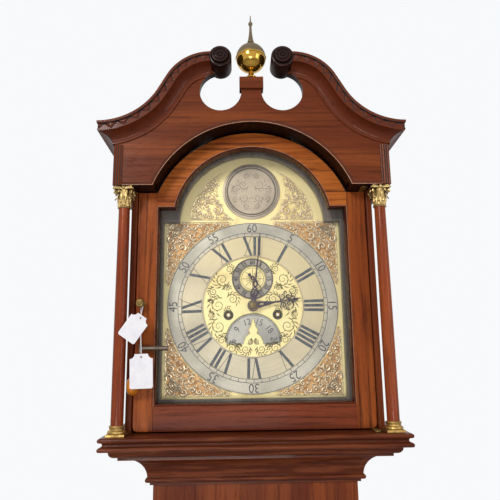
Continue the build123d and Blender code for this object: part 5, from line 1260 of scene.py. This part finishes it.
MINUTE_TRACK = (118.8, 124.6)
RIM_LINE_R = CHAPTER_R - 0.8
INNER_LINE_R = 84.2
track = [circle(r, RING_FACE) for r in (*MINUTE_TRACK, RIM_LINE_R)]
strokes("minute_track", track + ticks(60, MINUTE_TRACK, RING_FACE), 0.42, INK, "case", fine=1)
strokes("inner_line", [circle(INNER_LINE_R, RING_FACE)], 0.3, INK, "case", fine=1)
print("track of sixty divisions")

# %% [markdown]
# The small numbers are engraved too. Blender's own typeface, narrowed a little, is close to the
# engraver's hand, and each number becomes a thin mesh that is turned to its place on the dial.

# %% Engraved numbers


def number(name, text, angle, radius, size, face, centre, material, thin, body="case"):
    """A small engraved number, its head outwards."""
    curve = bpy.data.curves.new(name, "FONT")
    curve.body = text
    curve.size = size * MM
    curve.align_x = "CENTER"
    curve.extrude = 0.05 * MM
    curve.offset = -thin * MM
    spot = on_dial(angle, 0, radius, face - 0.05, centre) * MM
    around = Matrix.Rotation(radians(angle), 4, "Y")
    narrow = Matrix.Diagonal((0.86, 1.0, 1.0, 1.0))
    from_curve(name, curve, Matrix.Translation(spot) @ around @ UPRIGHT @ narrow, material, body)


DARK_INK = plain("seconds_wax", (40, 38, 40), (24, 24, 28))
SECONDS_CENTRE = DIAL_CENTRE + SECONDS_UP
SECONDS_FACE = depths("seconds_ring")[0]
DATE_CENTRE = DIAL_CENTRE - DATE_DOWN
DATE_FACE = depths("date_disc")[0]
MINUTES_R, MINUTES_SIZE = 125.8, 20.6
SECONDS_R, SECONDS_SIZE = 24.6, 10.2
SECONDS_TRACK = (31.8, 33.0)
DAYS = 31
DAY_SHOWN = 13.5
DATE_R, DATE_SIZE = 29.0, 15.5
DATE_TRACK = (43.6, 46.4)
for i in range(1, 13):
    label = str(i * 5)
    number("minutes_" + label, label, i * 30, MINUTES_R, MINUTES_SIZE, RING_FACE, DIAL_CENTRE, INK, 0.06)
for i in range(1, 13):
    label, face = str(i * 5), SECONDS_FACE
    number("seconds_" + label, label, i * 30, SECONDS_R, SECONDS_SIZE, face, SECONDS_CENTRE, DARK_INK, -0.26)
rings = [circle(r, SECONDS_FACE, SECONDS_CENTRE, 96) for r in (23.0, SECONDS_TRACK[1], 34.2)]
rings += ticks(60, SECONDS_TRACK, SECONDS_FACE, SECONDS_CENTRE)
strokes("seconds_track", rings, 0.42, DARK_INK, "case", fine=1)
for day in range(3, DAYS, 3):
    angle = (day - DAY_SHOWN) * 360 / DAYS
    number(f"date_{day}", str(day), angle, DATE_R, DATE_SIZE, DATE_FACE, DATE_CENTRE, INK, 0.0, "date_disc")
marks = [circle(r, DATE_FACE, DATE_CENTRE) for r in DATE_TRACK]
marks += ticks(DAYS, DATE_TRACK, DATE_FACE, DATE_CENTRE, 0.5)
strokes("date_track", marks, 0.25, INK, "date_disc", fine=1)
print("numbers for minutes, seconds and days")

# %% [markdown]
# ## Engraving
# The brass inside the ring is cut with leafy scrolls, mirrored about the upright line. Every
# scroll is a spiral that thins towards its eye, with short curved cuts fanning from its back. The
# layout is this clock's own, and rods of changing thickness swell and taper as a graver's cut does.

# %% Scrolls of the centre, the boss and the little dial


def scroll(x, z, radius, start, turns, way, y, thick=1.0, count=40):
    """A spiral that winds inwards and thins as it goes."""
    line = []
    for t in steps(count):
        a = radians(start) + way * turns * 2 * pi * t
        r = radius * (1 - 0.86 * t ** 0.8)
        line.append((x + r * cos(a), y, z + r * sin(a), thick * (1 - 0.6 * t)))
    return line


def flick(x, z, radius, a, sweep, y, thick=1.0):
    """A short curved cut that leaves a scroll and tapers to a point."""
    line = []
    for t in steps(8):
        r = radius * (1 + 0.55 * t)
        turn = a + sweep * t
        line.append((x + r * cos(turn), y, z + r * sin(turn), thick * (1 - 0.85 * abs(2 * t - 0.7))))
    return line


def flicks(count, x, z, radius, start, way, first, step, sweep, y, thick=1.0):
    """Cuts that fan from the back of a scroll."""
    turns = [radians(start) + way * (first + k * step) for k in range(count)]
    return [flick(x, z, radius, a, way * sweep, y, thick) for a in turns]


def mirrored(lines):
    return lines + [[(-x, *rest) for x, *rest in line] for line in lines]


FINE_INK = plain("fine_engraving", (118, 108, 60), (74, 66, 34))
BOSS_INK = plain("boss_engraving", (106, 96, 82), (78, 70, 60))
engraving = []
for x, z, r, start, way in (
    (51, 45, 12.5, 200, 1), (66, 25, 7.5, 100, -1), (34, 12, 9.5, 20, 1), (58, 2, 13.5, 120, -1),
    (71, -14, 5.5, 60, 1), (57, -33, 13, 80, -1), (36, -69, 8.5, 10, 1), (52, -56, 7.5, 190, -1),
    (13, -71, 8, 150, 1), (24, -66, 4, 200, -1), (39, 62, 7.5, 270, -1), (43, 30, 5.5, 330, 1),
    (71, 8, 4, 0, 1), (40, -8, 6.5, 250, 1), (6, -58, 4, 90, 1),
):
    z += CENTRE_Z
    engraving.append(scroll(x, z, r, start, 1.7, way, DIAL_FACE))
    engraving += flicks(7, x, z, r * 0.98, start, way, 0.35, 0.52, 0.55, DIAL_FACE, 1.3)
    engraving += flicks(4, x, z, r * 0.6, start, way, 0.6, 0.9, 0.4, DIAL_FACE, 0.9)
strokes("centre_engraving", mirrored(engraving), 0.78, FINE_INK, "case", fine=1)
star = []
for i, reach in enumerate((17, 11) * 8):
    star.append([on_dial(22.5 * i, 0, r, DIAL_FACE, SECONDS_CENTRE) for r in (5, reach)])
star += [circle(r, DIAL_FACE, SECONDS_CENTRE, 72) for r in (4.5, 18.5, 21.2)]
strokes("seconds_star", star, 0.45, FINE_INK, "case", fine=1)
BOSS_FACE = depths("arch_boss")[0]
flourish = []
for x, z, r, start, way in (
    (14, 12, 9, 200, 1), (28, 3, 6, 90, -1), (12, -12, 8, 20, -1), (27, -14, 5, 250, 1), (7, 27, 5, 300, 1),
    (8, -27, 5, 60, -1),
):
    z += DIAL_BOTTOM + BOSS_UP
    flourish.append(scroll(x, z, r, start, 1.5, way, BOSS_FACE))
    flourish += flicks(5, x, z, r, start, way, 0.4, 0.7, 0.5, BOSS_FACE)
rings = [circle(r, BOSS_FACE, BOSS_UP, 120) for r in (45.2, 42.6, 41.2)]
strokes("boss_rings", rings, 0.6, BOSS_INK, "case", fine=1)
strokes("boss_flourish", mirrored(flourish), 0.45, BOSS_INK, "case", fine=1)
print(len(engraving) * 2, "cuts in the centre")

# %% [markdown]
# The date shows through an opening with a cut border, and two winding holes are lined with dark
# rims that paint the shade inside them. In each hole stands the square end of its barrel's arbor,
# which turns with the barrel; its steel is painted near white as a highlight.

# %% Rims of the holes
ENGRAVED_BRASS = metal("engraved_brass", (218, 206, 132), (186, 172, 98), 0.4, 0.4, 30, 0.6)
# A near-black lining painted as the shade inside the winding holes.
HOLE_SHADE_PAINT = plain("hole_shadow", (34, 30, 26), (20, 18, 16), 0.5, 200, 0.05)
# Steel painted near white, as the highlight that the squares catch in the dark holes.
HIGHLIGHT_STEEL = metal("winding_square_highlight", (246, 246, 250), (196, 198, 204), 0.25, 0.2, 200, 0.6)
WINDOW_R = 47.0
WINDING_X = 40.9
WINDING_Z = CENTRE_Z - 14.6
tongue = [
    (16, 0), (14.5, 3), (11.7, 9), (9, 11.5), (5.2, 14), (6.8, 17), (7.2, 20), (5, 24), (3, 26.5), (3.6, 29),
    (1.8, 31), (0.8, 38),
]
rim = [(x, DATE_CENTRE + z) for x, z in tongue + [(-x, z) for x, z in reversed(tongue)]]
over = arc(0, DATE_CENTRE, WINDOW_R, 0, 180, 60)
strokes("date_rim", [at_depth(line, DIAL_FACE) for line in (rim, over)], 0.5, ENGRAVED_BRASS, "case", fine=1)
hole_shade_outline = [(8.4, -0.1), (8.2, 0.35), (7.2, 0.5), (6.6, 0.2), (6.5, -2.2), (3.9, -2.4)]
square = [(0, 0.2), (2.3, 0.2), (3.0, -0.5), (3.0, -6)]
for (hand, side), barrel in zip(SIDES, ("strike_barrel", "going_barrel")):
    x = side * WINDING_X
    place = (x, DIAL_FACE, WINDING_Z)
    lathe(f"winding_hole_shade_{hand}", hole_shade_outline, place, "forward", HOLE_SHADE_PAINT, "case", sides=40)
    place = (x, min(depths(barrel)[0] - 0.3, DIAL_FACE + 1.6), WINDING_Z)
    lathe(f"winding_square_{hand}", square, place, "forward", HIGHLIGHT_STEEL, barrel, sides=4)
print("rims of the date opening and the winding holes")

# %% [markdown]
# ## Spandrels
# The corner pieces are rococo castings: crowded scrolls and leaves, gilt once, with a painted
# highlight on their tops and brown in their depths, partly patina and partly painted shade. Scrolls
# of many sizes are packed into the space between the ring and the corner, mirrored about the
# diagonal, with a ribbed urn near the corner itself.

# %% Castings
GILT_GROUND = metal("gilt_ground", (208, 160, 98), (150, 104, 58), 0.4, 0.6, 160, 0.4)
# The near-white tops are a painted highlight; the brown depths are partly patina and partly painted shade.
GILT_CAST = cast_metal(
    "gilt_casting", 0.55, 0.003, 500, (150, 98, 52), (255, 232, 190), (0.12, 0.6), 0.3, 0.12, 0.25)
RELIEF_Y = DIAL_FACE - 1.0
RELIEF = 1.3
CORNER_EDGE = 144.0
RING_EDGE = CHAPTER_R + 1.2
GROUND_EDGE = CORNER_EDGE - 2.0
GROUND_RING = RING_EDGE + 1.6
URN = 124


def packed(inside, box, first, seed, most, tries=2600, least=1.3):
    """Circles that fill a region without touching: inside gives a point's room to the edge."""
    dice = Random(seed)
    circles = list(first)
    for i in range(tries):
        x, z = dice.uniform(box[0], box[1]), dice.uniform(box[2], box[3])
        room = inside(x, z)
        for cx, cz, cr in circles:
            room = min(room, hypot(x - cx, z - cz) - cr)
        limit = most if i < tries * 0.3 else most * 0.6
        if room >= least:
            circles.append((x, z, min(room, limit)))
    return circles


def cast_lines(circles, seed):
    """Scrolls, beads and leaves from packed circles."""
    dice = Random(seed)
    lines = []
    for x, z, r in circles:
        start, way = dice.uniform(0, 360), dice.choice((-1, 1))
        y = RELIEF_Y - 0.5 - 0.22 * r
        if r > 1.9:
            lines.append(scroll(x, z, r * 0.9, start, 1.2, way, y, 0.5 + r * 0.15, 22))
            lines += flicks(4, x, z, r * 0.86, start, way, 0.5, 1.3, 0.5, y + 0.4, 0.3 + r * 0.08)
        else:
            end = (x + r * 0.8 * cos(start), y, z + r * 0.8 * sin(start), 0.35)
            lines.append([(x, y, z, 0.5 + r * 0.35), end])
    return lines


def raised(points, share, lift=0.0):
    """A cast line through points of one front view."""
    return [(x, RELIEF_Y - lift, z, share) for x, z in points]


def corner_room(x, z):
    return min(CORNER_EDGE - x, CORNER_EDGE - z, hypot(x, z) - RING_EDGE, z - x + 2.2, x - 28, 60.0)


half = packed(corner_room, (28, CORNER_EDGE, 28, CORNER_EDGE), [], 11, 8.5)
lines = cast_lines(half, 5)
for i in range(3):
    reach = 5.0 + 3.6 * i
    rib = [(URN + reach * cos(radians(b)), URN + reach * sin(radians(b))) for b in range(-35, 126, 16)]
    lines.append(raised(rib, 0.75, 2.2))
for a in (radians(-35), radians(125)):
    lines.append(raised([(URN + r * cos(a), URN + r * sin(a)) for r in (-2, 5, 13)], 0.7, 2.2))
edge_x = [40 + i * 1.5 for i in range(71)]
lines.append(raised([(x, CORNER_EDGE + 0.6 - 0.8 * abs(sin(x * 0.45))) for x in edge_x], 0.5))
lines.append(raised([(RING_EDGE * cos(radians(b)), RING_EDGE * sin(radians(b))) for b in range(45, 76)], 0.5))
whole = lines + [[(z, y, x, share) for x, y, z, share in line] for line in lines]
ground = [(GROUND_RING * cos(radians(b)), GROUND_RING * sin(radians(b))) for b in range(14, 77, 3)]
ground += [(ground[-1][0], GROUND_EDGE), (GROUND_EDGE, GROUND_EDGE), (GROUND_EDGE, ground[0][1])]
for level, sz in (("top", 1), ("low", -1)):
    for hand, sx in SIDES:
        name = f"{level}_{hand}"
        loop = [(sx * x, DIAL_CENTRE + sz * z) for x, z in ground]
        front, back = DIAL_FACE - 0.5, DIAL_FACE + 0.4
        plate("spandrel_ground_" + name, [loop], front, back, GILT_GROUND, "case", edge=0.05)
        moved = [[(sx * x, y, CENTRE_Z + sz * z, share) for x, y, z, share in line] for line in whole]
        strokes("spandrel_" + name, moved, RELIEF, GILT_CAST, "case", ["spandrels"], 1)
print(len(whole), "scrolls and leaves in each corner")

# %% [markdown]
# The arch has two castings of the same kind, a mirrored pair that fills the room between the boss
# and the mask. Three great scrolls are listed and smaller ones are packed round them.

# %% Castings in the arch
ARCH_EDGE = MASK_ARCH_R - 16
ARCH_BOX = (30, 118, 296, 394)


def arch_room(x, z):
    out = ARCH_EDGE - hypot(x, z - MASK_ARCH_CENTRE)
    clear = hypot(x, z - BOSS_UP) - 58
    return min(out, clear, z - 297, x - 30, 394 - z)


great = [(60, 313, 11.5), (80, 305, 6.0), (44, 301, 3.4)]
lines = cast_lines(packed(arch_room, ARCH_BOX, great, 4, 7.0), 8)
lines.append(raised([(32 + i * 1.9, 296.2 + 0.9 * abs(sin(i * 0.9))) for i in range(40)], 0.55))
outer = [(ARCH_EDGE * cos(radians(b)), MASK_ARCH_CENTRE + ARCH_EDGE * sin(radians(b))) for b in range(9, 66)]
lines.append(raised(outer, 0.55))
for hand, side in SIDES:
    moved = [[(side * x, y, DIAL_BOTTOM + z, share) for x, y, z, share in line] for line in lines]
    strokes(f"arch_spandrel_{hand}", moved, RELIEF, GILT_CAST, "case", ["spandrels"], 1)
print(len(lines), "scrolls and leaves in each arch piece")

# %% [markdown]
# ## Hands
# Pierced and filed steel, blued and since turned brown. The hour hand is a wedge that breaks into
# scrolls; the minute hand has a pierced foot and a long thin blade; both turn on a brass collet.
# A plate cut from half an outline and its mirror keeps every hand even, and thin rods make curls.

# %% Three hands
BLUED = metal("blued_steel", (74, 62, 74), (40, 32, 36), 0.3, 0.5, 120)
DULL_BRASS = metal("dull_brass", (150, 132, 90), (96, 82, 54), 0.42, 0.6, 70)
MINUTE_ANGLE = 6.5
HOUR_ANGLE = 81.5
SECONDS_ANGLE = 139.0


def hand_plate(node, body, side, angle, edge, holes=(), centre=DIAL_CENTRE):
    """A hand cut from its half widths and its oval holes, turned to a clock angle."""
    loops = [[(w, v) for w, v in side] + [(-w, v) for w, v in reversed(side)]]
    for u, v, wide, tall in holes:
        loops.append([(u + wide * cos(a), v + tall * sin(a)) for a in [2 * pi * i / 20 for i in range(20)]])
    loops = [turned(loop, -angle, 0, centre) for loop in loops]
    front, back = depths(node)
    plate(f"{node}_steel", loops, front, back, BLUED, body, [node], edge)
    return front, back


def collar(name, radius, inner, y, body, node):
    """The round boss of a hand."""
    rim = [(inner, 0.1), (radius, 0.1), (radius + 0.2, -0.6), (radius, -1.3), (inner, -1.3)]
    lathe(name, rim, (0, y, CENTRE_Z), "forward", BLUED, body, [node], 48)


minute_side = smooth([
    (3.4, 5), (4.4, 8), (3.0, 12), (5.6, 17), (6.6, 22), (4.6, 27), (2.4, 30), (4.2, 34), (4.4, 38), (2.0, 42),
    (1.0, 46), (1.7, 50), (1.2, 58), (0.9, 90), (0.35, 122),
], 3)
minute_holes = [(-2.2, 21, 1.5, 3.6), (2.2, 21, 1.5, 3.6), (0, 35.6, 1.9, 2.8), (0, 27.6, 0.9, 1.4)]
minute_y, _ = hand_plate("minute_hand", "centre", minute_side, MINUTE_ANGLE, 0.25, minute_holes)
hour_side = smooth([
    (4.2, 6), (5.4, 11), (4.4, 18), (2.6, 28), (1.3, 38), (1.8, 42), (1.0, 46), (1.0, 66), (1.8, 70),
    (0.3, 81.5),
], 3)
hour_y, hour_back = hand_plate("hour_hand", "hour", hour_side, HOUR_ANGLE, 0.25, [(0, 14, 1.6, 4.2)])
curls = []
for s in (-1, 1):
    for u, v, r, begin, way, turns in (
        (7.5, 50, 5.4, 200, -1, 1.1), (6.4, 60, 4.6, 160, 1, 1.1), (13, 57, 3.4, 220, 1, 1.0),
        (3.6, 68, 3.0, 200, -1, 0.9),
    ):
        curls.append([(s * x, z, share) for x, _, z, share in scroll(u, v, r, begin, turns, way, 0, 1.0, 24)])
    curls.append([(0, 46, 1), (s * 4, 47, 1), (s * 8, 45, 0.9), (s * 12, 46.5, 0.5)])
    curls.append([(0, 62, 1), (s * 6, 66, 0.9), (s * 11, 66, 0.7), (s * 15, 62.5, 0.4)])
middle = (hour_y + hour_back) / 2
bent = [[(x, middle, z, share) for x, z, share in turned(line, -HOUR_ANGLE, 0, CENTRE_Z)] for line in curls]
strokes("hour_hand_scrolls", bent, 1.0, BLUED, "hour", ["hour_hand"])
seconds_side = [
    (0.7, -11), (1.9, -9.5), (2.6, -7.5), (1.9, -5.6), (0.6, -4), (2.6, -2.6), (3.6, 0), (2.6, 2.6), (0.8, 4),
    (0.6, 12), (0.3, 22),
]
hand_plate("seconds_hand", "escape", seconds_side, SECONDS_ANGLE, 0.15, centre=SECONDS_CENTRE)
hub = [
    (0, -1.3), (8.3, -1.3), (8.5, -0.7), (8.3, 0), (7.0, 0.3), (6.6, -0.1), (5.4, -0.1), (5.2, 0.9), (4.0, 1.3),
    (3.2, 0.9), (2.4, 1.0), (2.2, 2.3), (1.4, 2.7), (0, 2.7),
]
lathe("hand_collet", hub, (0, minute_y, CENTRE_Z), "forward", DULL_BRASS, "centre")
collar("minute_boss", 8.7, 2.3, minute_y, "centre", "minute_hand")
collar("hour_boss", 9.2, 4.6, hour_y, "hour", "hour_hand")
print("hands at", MINUTE_ANGLE, HOUR_ANGLE, SECONDS_ANGLE)

# %% Sizes
low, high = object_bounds()
